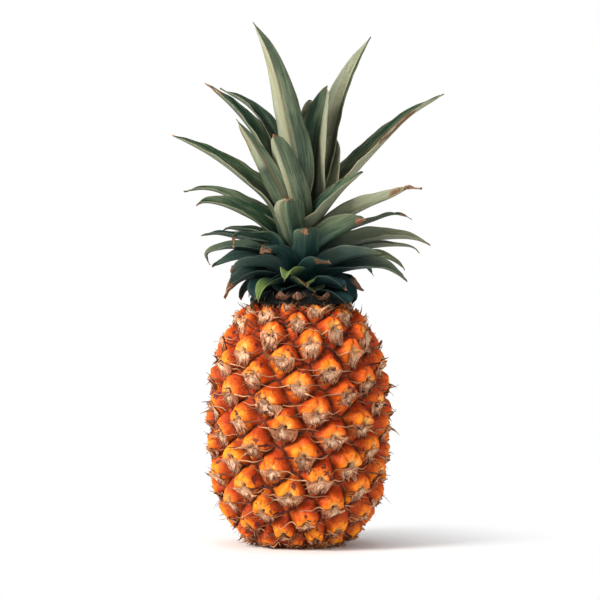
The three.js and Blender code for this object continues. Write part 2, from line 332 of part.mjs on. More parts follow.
let collar = wasm.Manifold.revolve([COLLAR_SHEATH], 16);
for (const row of COLLAR_LEAVES) collar = collar.add(leafSolid(row, 0, 6));
for (const other of blockers) if (meets(collar, other.solid)) collar = collar.subtract(other.solid);
place('leaf_collar', tidy(biggest(biggest(collar).simplify(2.2 * CUT_TOLERANCE))), 0x2f4a3a, 0.5);

export default pineapple;
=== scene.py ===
import math
import bpy
import numpy as np
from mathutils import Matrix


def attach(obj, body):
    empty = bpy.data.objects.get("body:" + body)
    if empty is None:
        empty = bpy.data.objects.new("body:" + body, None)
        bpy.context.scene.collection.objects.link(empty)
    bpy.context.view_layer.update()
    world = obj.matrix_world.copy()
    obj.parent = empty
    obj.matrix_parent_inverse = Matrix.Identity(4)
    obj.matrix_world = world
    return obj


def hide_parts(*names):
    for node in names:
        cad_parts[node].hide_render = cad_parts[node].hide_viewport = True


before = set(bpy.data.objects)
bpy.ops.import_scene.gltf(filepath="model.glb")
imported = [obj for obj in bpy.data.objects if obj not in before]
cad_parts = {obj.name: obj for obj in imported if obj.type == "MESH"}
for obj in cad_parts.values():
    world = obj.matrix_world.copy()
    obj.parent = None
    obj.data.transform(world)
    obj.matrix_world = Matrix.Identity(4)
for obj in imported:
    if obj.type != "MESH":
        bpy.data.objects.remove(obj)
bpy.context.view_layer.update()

MM = 0.001
SC = bpy.context.scene


# ---------------------------------------------------------------- camera
CAM_DIST = 1.5
CAM_X, CAM_Z = 0.00066, 0.1615
cam_data = bpy.data.cameras.new("camera")
cam_data.sensor_width = 36.0
cam_data.lens = 36.0 * CAM_DIST / 0.396
cam_data.clip_start, cam_data.clip_end = 0.05, 50
cam = bpy.data.objects.new("camera", cam_data)
cam.location = (CAM_X, -CAM_DIST, CAM_Z)
cam.rotation_euler = (math.pi / 2, 0, 0)
SC.collection.objects.link(cam)
SC.camera = cam


# ---------------------------------------------------------------- small maths
def smooth(x, a, b):
    t = np.clip((x - a) / (b - a), 0, 1)
    return t * t * (3 - 2 * t)


def hash01(n, k=0):
    """a repeatable number in 0..1 for each integer"""
    x = np.sin(np.asarray(n, float) * 127.1 + k * 311.7 + 17.3) * 43758.5453
    return x - np.floor(x)


_rng = np.random.default_rng(7)
_WAVES = []
for _o in range(3):
    d = _rng.normal(size=(9, 3))
    d /= np.linalg.norm(d, axis=1)[:, None]
    _WAVES.append((d * _rng.uniform(0.75, 1.35, (9, 1)), _rng.uniform(0, 6.283, 9)))


def wob(p, length, seed=0):
    """smooth noise in about -1..1 with that wavelength, p in mm (..., 3)"""
    p = np.asarray(p, float)
    out = 0
    amp = 1.0
    k = 2 * math.pi / length
    for i, (d, ph) in enumerate(_WAVES):
        f = k * (1.9 ** i)
        out = out + amp * np.sin(p @ (d.T * f) + ph + seed * (3.7 + 1.3 * i)).sum(-1) / 3.4
        amp *= 0.5
    return out / 1.75


# ---------------------------------------------------------------- fruit outline and eye lattice, as in the CAD
PROFILE = np.array([
    (0, 26), (0.7, 27.4), (2.6, 30.4), (5.9, 35.6), (12.5, 42.2), (19.1, 47.5), (25.7, 51.6), (32.3, 54.1),
    (45.5, 56.9), (58.7, 58.3), (71.9, 58.9), (85.1, 59.1), (98.3, 58.4), (111.5, 57.0), (124.7, 54.5),
    (131.3, 52.4), (137.9, 49.5), (144.5, 45.5), (151.1, 40.6), (156.5, 34), (160.2, 26.5), (161.5, 20)])
EYE_RISE, EYE_TURN, EYE_PHASE, EYE_FIRST, EYE_LAST = 1.3011, 137.5728, 11.768, -12, 142
EVEN_LOW, EVEN_HIGH, SQ_LOW, SQ_HIGH = 22.0, 138.0, 44.0, 64.0
R_REF = 58.7

ARC = np.concatenate([[0], np.cumsum(np.hypot(*np.diff(PROFILE, axis=0).T))])
ARC_END = ARC[-1]
# the outline, rounded off between its stations
_s = np.linspace(-14, ARC_END + 12, 900)
_r = np.interp(_s, ARC, PROFILE[:, 1])
_z = np.interp(_s, ARC, PROFILE[:, 0])
_r = np.where(_s < 0, 26 + _s, _r)
_r = np.where(_s > ARC_END, 20 - (_s - ARC_END), _r)
_k = np.exp(-0.5 * (np.arange(-24, 25) / 9.0) ** 2)
_k /= _k.sum()
_pad = lambda a: np.concatenate([2 * a[0] - a[24:0:-1], a, 2 * a[-1] - a[-2:-26:-1]])
_r2, _z2 = np.convolve(_pad(_r), _k, "valid"), np.convolve(_pad(_z), _k, "valid")


def outline(s):
    """radius, height and the outward normal (radial, up) at arc length s"""
    r, z = np.interp(s, _s, _r2), np.interp(s, _s, _z2)
    dr = np.interp(s + 1.2, _s, _r2) - np.interp(s - 1.2, _s, _r2)
    dz = np.interp(s + 1.2, _s, _z2) - np.interp(s - 1.2, _s, _z2)
    n = np.maximum(np.hypot(dr, dz), 1e-9)
    return r, z, dz / n, -dr / n


ARC_LOW, ARC_HIGH = np.interp(EVEN_LOW, PROFILE[:, 0], ARC), np.interp(EVEN_HIGH, PROFILE[:, 0], ARC)


def arc_of(v):
    """lattice height to arc length: even in the middle, closing in at both ends"""
    v = np.asarray(v, float)
    p0 = 1.2 * SQ_LOW / ARC_LOW
    lo = ARC_LOW * np.maximum(0, 1 - (EVEN_LOW - v) / SQ_LOW) ** p0
    span = ARC_END - ARC_HIGH
    p1 = 1.2 * SQ_HIGH / span
    hi = ARC_END - span * np.maximum(0, 1 - (v - EVEN_HIGH) / SQ_HIGH) ** p1
    return np.where(v < EVEN_LOW, lo, np.where(v > EVEN_HIGH, hi, np.interp(v, PROFILE[:, 0], ARC)))


_v = np.linspace(EVEN_LOW - SQ_LOW + 0.5, EVEN_HIGH + SQ_HIGH - 0.5, 2400)
_sv = arc_of(_v)

EYES = np.arange(EYE_FIRST, EYE_LAST + 1)
NE = len(EYES)
E_TH = np.radians(EYE_PHASE + EYES * EYE_TURN) + (hash01(EYES, 1) - 0.5) * 0.035
E_V = EYES * EYE_RISE + 0.095 + (hash01(EYES, 2) - 0.5) * 2.2
E_S = arc_of(E_V)
E_STRETCH = np.clip((arc_of(E_V + 1.5) - arc_of(E_V - 1.5)) / 3.0, 0.18, 1.2)
E_R = outline(E_S)[0]
E_SIZE = (hash01(EYES, 3) - 0.5) * 3.0      # some eyes swell more than others


def eye_coords(th, s):
    """nearest eye of each point, its local place in mm of a full-size eye, and the distance to the next eye's border"""
    r = outline(s)[0]
    stretch = np.interp(s, _sv, np.gradient(_sv, _v))
    stretch = np.clip(stretch, 0.18, 1.2)
    shape = th.shape
    th, s, r, stretch = th.ravel(), s.ravel(), r.ravel(), stretch.ravel()
    p = np.stack([r * np.cos(th), r * np.sin(th), s], -1)
    wu, wv = 1.15 * wob(p, 17, 1), 1.15 * wob(p, 15, 2)
    out = [np.empty(len(th), int)] + [np.empty(len(th)) for _ in range(4)]
    for a in range(0, len(th), 20000):
        sl = slice(a, a + 20000)
        du = (th[sl, None] - E_TH[None] + math.pi) % (2 * math.pi) - math.pi
        U = du * R_REF + wu[sl, None]
        V = (s[sl, None] - E_S[None]) / (0.5 * (stretch[sl, None] + E_STRETCH[None])) + wv[sl, None]
        near = np.abs(V) < 45
        d = np.where(near, np.hypot(U, V), 1e3) - E_SIZE[None] * 0.5
        i1 = d.argmin(1)
        k = np.arange(len(i1))
        d1 = d[k, i1].copy()
        d[k, i1] = 1e3
        i2 = d.argmin(1)
        d2 = d[k, i2]
        gap = np.hypot((U[k, i1] - U[k, i2]), (V[k, i1] - V[k, i2]))
        out[0][sl] = i1
        out[1][sl] = U[k, i1]
        out[2][sl] = V[k, i1]
        out[3][sl] = (d2 - d1) * (d1 + d2) / (2 * np.maximum(gap, 6))
        out[4][sl] = np.minimum(r[sl] / R_REF, 1) ** 0.5 * np.minimum(stretch[sl], 1) ** 0.7
    return [o.reshape(shape) for o in out]


def relief(i, U, V, e, k, th, s):
    """height of the skin over the outline in mm, and the masks that the colours use"""
    n = EYES[i]
    r = outline(s)[0]
    p = np.stack([r * np.cos(th), r * np.sin(th), s], -1)
    swell = 0.85 + 0.4 * hash01(n, 4)
    dome = 1 - np.exp(-(np.maximum(e, 0) / 2.6) ** 1.2)
    across = np.hypot(U, V * 1.02) / 11.6
    dome = dome * (0.30 + 0.70 * np.sqrt(np.clip(1 - across ** 3.2, 0, 1)))
    cy = -1.6 + 1.6 * (hash01(n, 5) - 0.5)
    rho = np.hypot(U, (V - cy) * 0.95)
    phi = np.arctan2(V - cy, U)
    upper = smooth(np.sin(phi), -0.62, -0.05)
    tilt = (hash01(n, 6) - 0.5) * 0.7
    two = hash01(n, 7) > 0.35
    cleft = np.where(two, np.exp(-((phi - math.pi / 2 - tilt) / 0.16) ** 2),
                     np.exp(-((phi - 1.0 - tilt) / 0.15) ** 2) + np.exp(-((phi - 2.2 - tilt) / 0.15) ** 2))
    cleft *= smooth(rho, 0.5, 3.0)
    ring = np.exp(-((rho - 6.3) / 3.1) ** 2) * upper
    lobe = ring * (1 - 0.62 * cleft)
    pit = np.exp(-(rho / 1.5) ** 2)
    bowl = np.exp(-(rho / 3.4) ** 2)
    under = smooth(-np.sin(phi), 0.1, 0.8) * smooth(rho, 1.5, 6)
    h = -6.9 + 6.6 * dome * swell + 2.3 * lobe - 2.2 * pit - 0.9 * bowl - 1.7 * under * dome
    h = h + 0.22 * wob(p, 7, 3) * dome + 0.09 * wob(p, 2.6, 4)
    fade = smooth(s, -2.5, 3.0) * smooth(ARC_END + 2 - s, 0, 6)
    return (h * k) * fade, dome, lobe, pit, bowl, cleft * ring, under


def on_skin(th, s, lift=0.0):
    """points in mm on the finished skin, raised by lift"""
    i, U, V, e, k = eye_coords(th, s)
    h = relief(i, U, V, e, k, th, s)[0]
    r, z, nr, nz = outline(s)
    d = h + lift
    rr, zz = r + nr * d, z + nz * d
    return np.stack([rr * np.cos(th), rr * np.sin(th), zz], -1), h


# ---------------------------------------------------------------- mesh helpers
def new_mesh(name, verts, quads, colors=(), smooth_shade=True, tris=None):
    """verts in mm. colors: (attribute name, (n, 4) array)"""
    me = bpy.data.meshes.new(name)
    verts = np.asarray(verts, np.float32) * MM
    faces = [(np.asarray(quads, np.int32), 4)] if quads is not None and len(quads) else []
    if tris is not None and len(tris):
        faces.append((np.asarray(tris, np.int32), 3))
    loops = np.concatenate([f.ravel() for f, _ in faces])
    sizes = np.concatenate([np.full(len(f), n, np.int32) for f, n in faces])
    me.vertices.add(len(verts))
    me.vertices.foreach_set("co", verts.ravel())
    me.loops.add(len(loops))
    me.loops.foreach_set("vertex_index", loops)
    me.polygons.add(len(sizes))
    me.polygons.foreach_set("loop_start", np.concatenate([[0], np.cumsum(sizes)[:-1]]).astype(np.int32))
    me.polygons.foreach_set("loop_total", sizes)
    me.update(calc_edges=True)
    me.validate(clean_customdata=False)
    me.polygons.foreach_set("use_smooth", np.full(len(me.polygons), smooth_shade))
    for attr, value in colors:
        a = me.attributes.new(attr, "FLOAT_COLOR", "POINT")
        a.data.foreach_set("color", np.asarray(value, np.float32).ravel())
    ob = bpy.data.objects.new(name, me)
    SC.collection.objects.link(ob)
    return ob


def rgba(*cols):
    n = len(cols[0])
    out = np.ones((n, 4), np.float32)
    for k, c in enumerate(cols):
        out[:, k] = c
    return out


def grid_quads(m, n, wrap=False, flip=False):
    i = np.arange(m - 1)[:, None]
    j = np.arange(n if wrap else n - 1)[None]
    j2 = (j + 1) % n
    q = np.stack([i * n + j, i * n + j2, (i + 1) * n + j2, (i + 1) * n + j], -1).reshape(-1, 4)
    return q[:, ::-1] if flip else q


def tubes(P, R, sides=4):
    """closed tubes: P (K, M, 3) paths, R (K, M) radii -> verts, quads, and which (k, m) each vertex belongs to"""
    K, M, _ = P.shape
    T = np.gradient(P, axis=1)
    T /= np.maximum(np.linalg.norm(T, axis=2, keepdims=True), 1e-9)
    ref = np.where(np.abs(T[:, :1, 2:3]) > 0.9, np.array([1.0, 0, 0]), np.array([0, 0, 1.0]))
    A = np.cross(T, np.broadcast_to(ref, T.shape))
    A /= np.maximum(np.linalg.norm(A, axis=2, keepdims=True), 1e-9)
    B = np.cross(T, A)
    ang = np.arange(sides) * 2 * math.pi / sides
    ring = A[:, :, None] * np.cos(ang)[None, None, :, None] + B[:, :, None] * np.sin(ang)[None, None, :, None]
    V = P[:, :, None] + ring * R[:, :, None, None]
    verts = V.reshape(-1, 3)
    base = (np.arange(K) * M * sides)[:, None, None]
    m = np.arange(M - 1)[None, :, None]
    j = np.arange(sides)[None, None]
    j2 = (j + 1) % sides
    q = np.stack([base + m * sides + j, base + m * sides + j2, base + (m + 1) * sides + j2, base + (m + 1) * sides + j], -1).reshape(-1, 4)
    caps = None
    tris = None
    if sides == 4:
        s0 = base[:, 0, 0][:, None] + np.array([3, 2, 1, 0])[None]
        s1 = base[:, 0, 0][:, None] + (M - 1) * 4 + np.array([0, 1, 2, 3])[None]
        q = np.concatenate([q, s0, s1])
    else:
        s0 = base[:, 0, 0][:, None] + np.array([2, 1, 0])[None]
        s1 = base[:, 0, 0][:, None] + (M - 1) * 3 + np.array([0, 1, 2])[None]
        tris = np.concatenate([s0, s1])
    kk = np.repeat(np.arange(K), M * sides)
    mm = np.tile(np.repeat(np.arange(M), sides), K)
    return verts, q, tris, kk, mm


def sheet_solid(G, th):
    """closed thin sheets: G (K, M, N, 3) grids, th thickness (K, M, N) -> verts, quads, side flag"""
    K, M, N, _ = G.shape
    du = np.gradient(G, axis=1)
    dv = np.gradient(G, axis=2)
    nor = np.cross(du, dv)
    nor /= np.maximum(np.linalg.norm(nor, axis=3, keepdims=True), 1e-9)
    top, bot = G + nor * th[..., None] / 2, G - nor * th[..., None] / 2
    verts = np.stack([top, bot], 1).reshape(-1, 3)
    per = M * N
    base = (np.arange(K) * 2 * per)[:, None]
    g = grid_quads(M, N)
    quads = [g[:, ::-1], g + per]
    i, j = np.arange(M - 1), np.arange(N - 1)
    quads.append(np.stack([i * N, i * N + per, (i + 1) * N + per, (i + 1) * N], -1))
    quads.append(np.stack([i * N + N - 1, (i + 1) * N + N - 1, (i + 1) * N + N - 1 + per, i * N + N - 1 + per], -1))
    quads.append(np.stack([j, j + 1, j + 1 + per, j + per], -1))
    e = (M - 1) * N
    quads.append(np.stack([e + j, e + j + per, e + j + 1 + per, e + j + 1], -1))
    q = np.concatenate(quads)[:, ::-1]
    quads = (base[:, :, None] + q[None]).reshape(-1, 4)
    side = np.tile(np.concatenate([np.ones(per), np.zeros(per)]), K)
    return verts, quads, side


# ---------------------------------------------------------------- node helpers
class Mat:
    def __init__(self, name):
        self.m = bpy.data.materials.new(name)
        self.m.use_nodes = True
        self.t = self.m.node_tree
        self.b = self.t.nodes["Principled BSDF"]

    def node(self, kind, **props):
        n = self.t.nodes.new(kind)
        for k, v in props.items():
            setattr(n, k, v)
        return n

    def link(self, a, b):
        self.t.links.new(a, b)
        return b

    def put(self, socket, value):
        if hasattr(value, "is_linked") or hasattr(value, "links"):
            self.t.links.new(value, socket)
        else:
            socket.default_value = value

    def attr(self, name):
        n = self.node("ShaderNodeAttribute", attribute_name=name, attribute_type="GEOMETRY")
        s = self.node("ShaderNodeSeparateColor")
        self.link(n.outputs["Color"], s.inputs[0])
        return s.outputs[0], s.outputs[1], s.outputs[2], n.outputs["Alpha"]

    def math(self, op, a, b=None, c=None, clamp=False):
        n = self.node("ShaderNodeMath", operation=op, use_clamp=clamp)
        for k, v in enumerate((a, b, c)):
            if v is not None:
                self.put(n.inputs[k], v)
        return n.outputs[0]

    def mix(self, fac, a, b, kind="MIX"):
        n = self.node("ShaderNodeMix", data_type="RGBA", blend_type=kind, clamp_factor=True)
        self.put(n.inputs[0], fac)
        for k, v in ((6, a), (7, b)):
            if isinstance(v, tuple) and len(v) == 3:
                v = (*v, 1)
            self.put(n.inputs[k], v)
        return n.outputs[2]

    def noise(self, scale, detail=3, rough=0.55, vector=None, dist=0.0):
        n = self.node("ShaderNodeTexNoise")
        n.inputs["Scale"].default_value = scale
        n.inputs["Detail"].default_value = detail
        n.inputs["Roughness"].default_value = rough
        n.inputs["Distortion"].default_value = dist
        self.link(vector if vector is not None else self.coord(), n.inputs["Vector"])
        return n.outputs["Fac"]

    def coord(self):
        if not hasattr(self, "_c"):
            self._c = self.node("ShaderNodeTexCoord").outputs["Object"]
        return self._c

    def ramp(self, fac, *stops):
        n = self.node("ShaderNodeValToRGB")
        e = n.color_ramp.elements
        while len(e) < len(stops):
            e.new(0.5)
        for k, (p, c) in enumerate(stops):
            e[k].position = p
            e[k].color = (*c, 1) if isinstance(c, tuple) else (c, c, c, 1)
        self.put(n.inputs[0], fac)
        return n.outputs[0]

    def step(self, fac, a, b):
        n = self.node("ShaderNodeMapRange", interpolation_type="SMOOTHSTEP")
        self.put(n.inputs[0], fac)
        n.inputs[1].default_value, n.inputs[2].default_value = a, b
        n.inputs[3].default_value, n.inputs[4].default_value = 0.0, 1.0
        return n.outputs[0]

    def bump(self, height, dist, strength=1.0, normal=None):
        n = self.node("ShaderNodeBump")
        n.inputs["Distance"].default_value = dist
        n.inputs["Strength"].default_value = strength
        self.put(n.inputs["Height"], height)
        if normal is not None:
            self.link(normal, n.inputs["Normal"])
        return n.outputs[0]

    def done(self, color=None, rough=None, normal=None, **consts):
        if color is not None:
            self.put(self.b.inputs["Base Color"], color)
        if rough is not None:
            self.put(self.b.inputs["Roughness"], rough)
        if normal is not None:
            self.link(normal, self.b.inputs["Normal"])
        for k, v in consts.items():
            self.b.inputs[k.replace("_", " ")].default_value = v
        return self.m


# ---------------------------------------------------------------- fruit skin
NU, NV = 420, 224
TH = np.linspace(0, 2 * math.pi, NU, endpoint=False)


def build_skin():
    s = np.concatenate([np.linspace(-12.4, -1.5, 7), np.linspace(0, ARC_END, NV), ARC_END + np.array([3.0, 8.0, 14.0, 19.0])])
    SS, TT = np.meshgrid(s, TH, indexing="ij")
    i, U, V, e, k = eye_coords(TT, SS)
    h, dome, lobe, pit, bowl, cleft, under = relief(i, U, V, e, k, TT, SS)
    r, z, nr, nz = outline(SS)
    rr, zz = r + nr * h, np.maximum(z + nz * h, 0.03)
    zz[:6] = 0.0
    # flat top under the crown, closing in to the pole
    rr[-2], rr[-1] = 6.0, 1.0
    zz[-2:] = zz[-3].mean()
    P = np.stack([rr * np.cos(TT), rr * np.sin(TT), zz], -1)
    n = EYES[i]
    noise = 0.5 + 0.5 * wob(P, 38, 5)
    masks1 = rgba(dome.ravel(), lobe.ravel(), np.clip(bowl, 0, 1).ravel(), np.clip(cleft, 0, 1).ravel())
    masks2 = rgba(hash01(n, 8).ravel(), under.ravel(), np.clip(zz / 162, 0, 1).ravel(), np.clip(U / 22 + 0.5, 0, 1).ravel())
    masks3 = rgba(np.exp(-np.maximum(e, 0) / 1.5).ravel(), np.clip(np.hypot(U, V + 1.6) / 12, 0, 1).ravel(), np.clip(pit, 0, 1).ravel(), hash01(n, 9).ravel())
    m = len(s)
    verts = P.reshape(-1, 3)
    quads = grid_quads(m, NU, wrap=True)
    # recess for the stalk below, and the pole above
    ring = np.stack([13.6 * np.cos(TH), 13.6 * np.sin(TH), np.full(NU, 6.2)], -1)
    a = len(verts)
    verts = np.concatenate([verts, ring, [[0, 0, 6.3], [0, 0, verts[-1, 2]]]])
    j = np.arange(NU)
    j2 = (j + 1) % NU
    wall = np.stack([a + j, a + j2, j2, j], -1)
    tris = np.concatenate([np.stack([np.full(NU, a + NU), a + j2, a + j], -1),
                           np.stack([np.full(NU, a + NU + 1), (m - 1) * NU + j, (m - 1) * NU + j2], -1)])
    pad = lambda c: np.concatenate([c, np.tile([[0.2, 0, 0, 0]], (NU + 2, 1))])
    return new_mesh("fruit_skin", verts, np.concatenate([quads, wall]),
                    [("eye", pad(masks1)), ("eye2", pad(masks2)), ("eye3", pad(masks3))], tris=tris)


skin = build_skin()


# ---------------------------------------------------------------- papery bracts
def soft_floor(h):
    return np.where(h < -3.4, -3.4 + 0.3 * (h + 3.4), h)


def over_skin(th, s, lift):
    """rides over the crevices instead of dipping into them"""
    i, U, V, e, k = eye_coords(th, s)
    h = relief(i, U, V, e, k, th, s)[0]
    r, z, nr, nz = outline(s)
    d = soft_floor(h) + lift
    rr, zz = r + nr * d, np.maximum(z + nz * d, 0.15)
    nor = np.stack([nr * np.cos(th), nr * np.sin(th), nz], -1)
    return np.stack([rr * np.cos(th), rr * np.sin(th), zz], -1), nor


BR = np.nonzero((E_STRETCH > 0.3) & (E_R > 24))[0]
BM, BN = 12, 17


def bract_half_width(b, n):
    w = np.interp(b, [0, .10, .24, .36, .46, .58, .8, 1], [4.6, 6.6, 8.2, 9.2, 5.6, 3.1, 1.3, 0.10])
    return w * (0.60 + 0.62 * hash01(n, 11))


def bract_place(n, a, b):
    """local place of bract point (a across -1..1, b from fringe 0 to tip 1)"""
    low = -10.6 + 3.4 * hash01(n, 24)
    v = low + (1.4 - low) * b + 1.8 * (hash01(n, 12) - 0.5)
    v = v + (2.4 + 2.4 * hash01(n, 13)) * a ** 2 * np.exp(-((b - 0.38) / 0.2) ** 2)
    lean = 4.0 * (hash01(n, 14) - 0.5)
    u = a * bract_half_width(b, n) + lean * b ** 1.5 + 0.6 * np.sin(b * 5 + 6 * hash01(n, 15))
    return u, v


def build_bracts(layer=0):
    BR = np.nonzero((E_STRETCH > 0.3) & (E_R > 24) & ((layer == 0) | (hash01(EYES, 90 + layer) > 0.72)))[0]
    n = EYES[BR][:, None, None]
    b = (np.linspace(0, 1, BM) ** 0.95)[None, :, None]
    a = np.linspace(-1, 1, BN)[None, None, :]
    col = np.arange(BN)[None, None, :]
    u, v = bract_place(n, a, b)
    odd = np.where(col % 2 == 0, 1.0, -1.0)
    v = v - (4.2 * (hash01(n * 31 + col + 7 * layer, 16) - 0.40) + 0.8 * odd) * (1 - b) ** 2
    if layer:
        ang = (hash01(n, 93 + layer) - 0.5) * 1.9
        size = 0.55 + 0.3 * hash01(n, 95 + layer)
        u, v = size * (u * np.cos(ang) - (v + 4) * np.sin(ang)), size * (u * np.sin(ang) + (v + 4) * np.cos(ang)) - 4.8
    u_shift = (hash01(n * 29 + col, 15) - 0.5) * 1.0 * (1 - b) ** 2
    lift = 0.3 + 0.55 * np.sin(math.pi * b) + (1.2 + 2.6 * hash01(n, 17)) * b ** 5
    lift = lift + 0.5 * np.abs(a) ** 3 * np.exp(-((b - 0.38) / 0.15) ** 2) + 0.5 * (hash01(n * 17 + col, 18) - 0.5) * (1 - 0.75 * b)
    lift = lift + 1.3 * hash01(n * 13 + col, 19) * (1 - b) ** 3 + 0.28 * odd * (1 - b)
    th = E_TH[BR][:, None, None] + (u + u_shift) / R_REF + 0 * b
    s = E_S[BR][:, None, None] + v * E_STRETCH[BR][:, None, None] + 0 * a
    if layer:
        lift = lift * 1.3 + 0.55 * layer
    shrink = np.clip(E_STRETCH[BR], 0.4, 1)[:, None, None]
    G, _ = over_skin(th, s, lift * shrink)
    thick = np.broadcast_to(0.30 - 0.12 * np.abs(a) + 0 * b, G.shape[:3])
    verts, quads, side = sheet_solid(G, thick)
    rep = lambda x: np.repeat(np.broadcast_to(x, G.shape[:3])[:, None], 2, 1).ravel()
    c1 = rgba(rep(b), rep(a * 0.5 + 0.5), rep(hash01(n + 3 * layer, 20)), side)
    c2 = rgba(rep(hash01(n * 31 + col, 16)), rep(np.clip(E_S[BR] / ARC_END, 0, 1)[:, None, None]), rep(hash01(n + 5 * layer, 21)), rep(hash01(n, 22)))
    return new_mesh("fruit_bracts%s" % ("", "_torn")[layer], verts, quads, [("br", c1), ("br2", c2)])


bracts = build_bracts()
shreds = build_bracts(1)


# ---------------------------------------------------------------- fibres
def build_fibres():
    P, R, C = [], [], []
    n0 = EYES[BR]

    def on(u, v, lift, idx):
        th = E_TH[idx][:, None] + u / R_REF
        s = np.clip(E_S[idx][:, None] + v * E_STRETCH[idx][:, None], 0.5, ARC_END - 1)
        return over_skin(th, s, lift)

    # fringe below each bract
    per, M = 12, 7
    idx = np.repeat(BR, per)
    n = EYES[idx][:, None]
    q = np.tile(np.arange(per), len(BR))[:, None]
    key = n * 53 + q
    a0 = -0.96 + 1.92 * (q + 0.8 * hash01(key, 1)) / per
    b0 = 0.02 + 0.3 * hash01(key, 2)
    u0, v0 = bract_place(n, a0, b0)
    psi = a0 * (1.1 + 0.5 * hash01(key, 3)) + 1.0 * (hash01(key, 4) - 0.5)
    L = 2.2 + 4.8 * hash01(key, 5) ** 1.4
    t = np.linspace(0, 1, M)[None]
    bend = (hash01(key, 6) - 0.5) * 2.6
    u = u0 + np.sin(psi) * L * t + bend * t * t
    v = v0 - np.cos(psi) * L * t
    lift = 0.6 + (0.4 + 2.0 * hash01(key, 7)) * np.sin(math.pi * np.minimum(t * 0.8, 1)) * 0.7 + (hash01(key, 8) > 0.86) * 2.6 * t ** 2
    pts, _ = on(u, v, lift, idx)
    P.append(pts); R.append((0.17 + 0.12 * hash01(key, 9)) * (1 - 0.72 * t)); C.append((t + 0 * u, hash01(key, 10) + 0 * u, 0.7 + 0 * u))

    # long arms that run sideways along the crevices
    M2 = 13
    t = np.linspace(0, 1, M2)[None]
    for side in (-1, 1):
        for extra in range(2):
            idx = BR if extra == 0 else BR[hash01(n0, 30 + side) > 0.45]
            n = EYES[idx][:, None]
            key = n * 7 + side * 3 + extra * 101
            u0, v0 = bract_place(n, side * 0.93, 0.37 - 0.13 * extra)
            L = (8 + 11 * hash01(key, 2)) * (1 - 0.35 * extra)
            rise = (hash01(key, 3) - 0.42) * 6
            u = u0 + side * L * t
            v = v0 + rise * t ** 1.6 + 1.1 * np.sin(t * 5 + 6 * hash01(key, 4)) * t - 1.4 * t * (1 - t) * 2
            free = (hash01(key, 5) > 0.6) * (2.5 + 3.5 * hash01(key, 6))
            lift = 0.75 + 1.1 * np.sin(math.pi * t) * hash01(key, 7) + free * t ** 3
            pts, _ = on(u, v, lift, idx)
            P.append(pts); R.append((0.42 + 0.16 * hash01(key, 8)) * (1 - t) ** 0.8 + 0.08); C.append((t + 0 * u, hash01(key, 9) + 0 * u, 0.5 + 0 * u))

    # stiff hairs and dark ragged bits that stand off the skin
    M3 = 8
    t = np.linspace(0, 1, M3)[None]
    for extra in range(3):
        idx = BR[hash01(n0, 40 + extra) > (0.25, 0.5, 0.62)[extra]]
        n = EYES[idx][:, None]
        key = n * 11 + extra * 57
        side = np.sign(hash01(key, 1) - 0.5)
        where_a = side * (0.25 + 0.7 * hash01(key, 2))
        u0, v0 = bract_place(n, where_a, 0.12 + 0.4 * hash01(key, 3))
        if extra == 0:
            u0, v0 = bract_place(n, 0 * where_a, 0.93 + 0 * where_a)
        pts, nor = on(u0 + 0 * t, v0 + 0 * t, 0.8 + 0 * t, idx)
        L = 2.2 + 3.8 * hash01(key, 4)
        th = E_TH[idx][:, None] + u0 / R_REF
        across = np.stack([-np.sin(th), np.cos(th), 0 * th], -1)
        curl = (hash01(key, 5) - 0.5) * 2.4
        drop = (hash01(key, 6) - 0.35) * 1.6
        pts = pts + nor * (L * t)[..., None] + across * (L * (0.5 * curl * t + curl * t ** 2.2))[..., None]
        pts[..., 2] -= L * drop * t ** 2
        wide = (hash01(key, 7) > 0.66) * 0.34
        P.append(np.concatenate([pts, ], 1)); R.append((0.20 + wide) * (1 - t) ** 0.7 + 0.06); C.append((t + 0 * u0, hash01(key, 8) + 0 * t, 0.85 + 0 * t + 0 * u0))

    # dry hairs of the collar under the crown
    K, M4 = 150, 7
    k = np.arange(K)[:, None]
    t = np.linspace(0, 1, M4)[None]
    th = k * 2.39996 + 0.9 * t * (hash01(k, 60) - 0.5)
    r = 20 + 11 * hash01(k, 61) - 1.5 * t + 3 * t ** 2 * (hash01(k, 62) - 0.3)
    zb = 160.5 - 0.30 * np.maximum(r[:, :1] - 19, 0) ** 1.15
    z = zb + t * (3 + 8.5 * hash01(k, 63))
    pts = np.stack([r * np.cos(th), r * np.sin(th), z + 0 * th], -1)
    P.append(pts); R.append((0.26 + 0.22 * hash01(k, 64)) * (1 - 0.8 * t)); C.append((t + 0 * th, hash01(k, 65) + 0 * t, 0.5 + 0 * th))

    V, Q, A = [], [], []
    off = 0
    for p, r, c in zip(P, R, C):
        p[..., 2] = np.maximum(p[..., 2], 0.75)
        verts, quads, _, kk, mm = tubes(p, r + 0 * p[..., 0], 4)
        V.append(verts); Q.append(quads + off); off += len(verts)
        A.append(rgba(*[x[kk, mm] for x in (c[0], c[1], c[2])]))
    return new_mesh("fruit_fibres", np.concatenate(V), np.concatenate(Q), [("hr", np.concatenate(A))])


fibres = build_fibres()


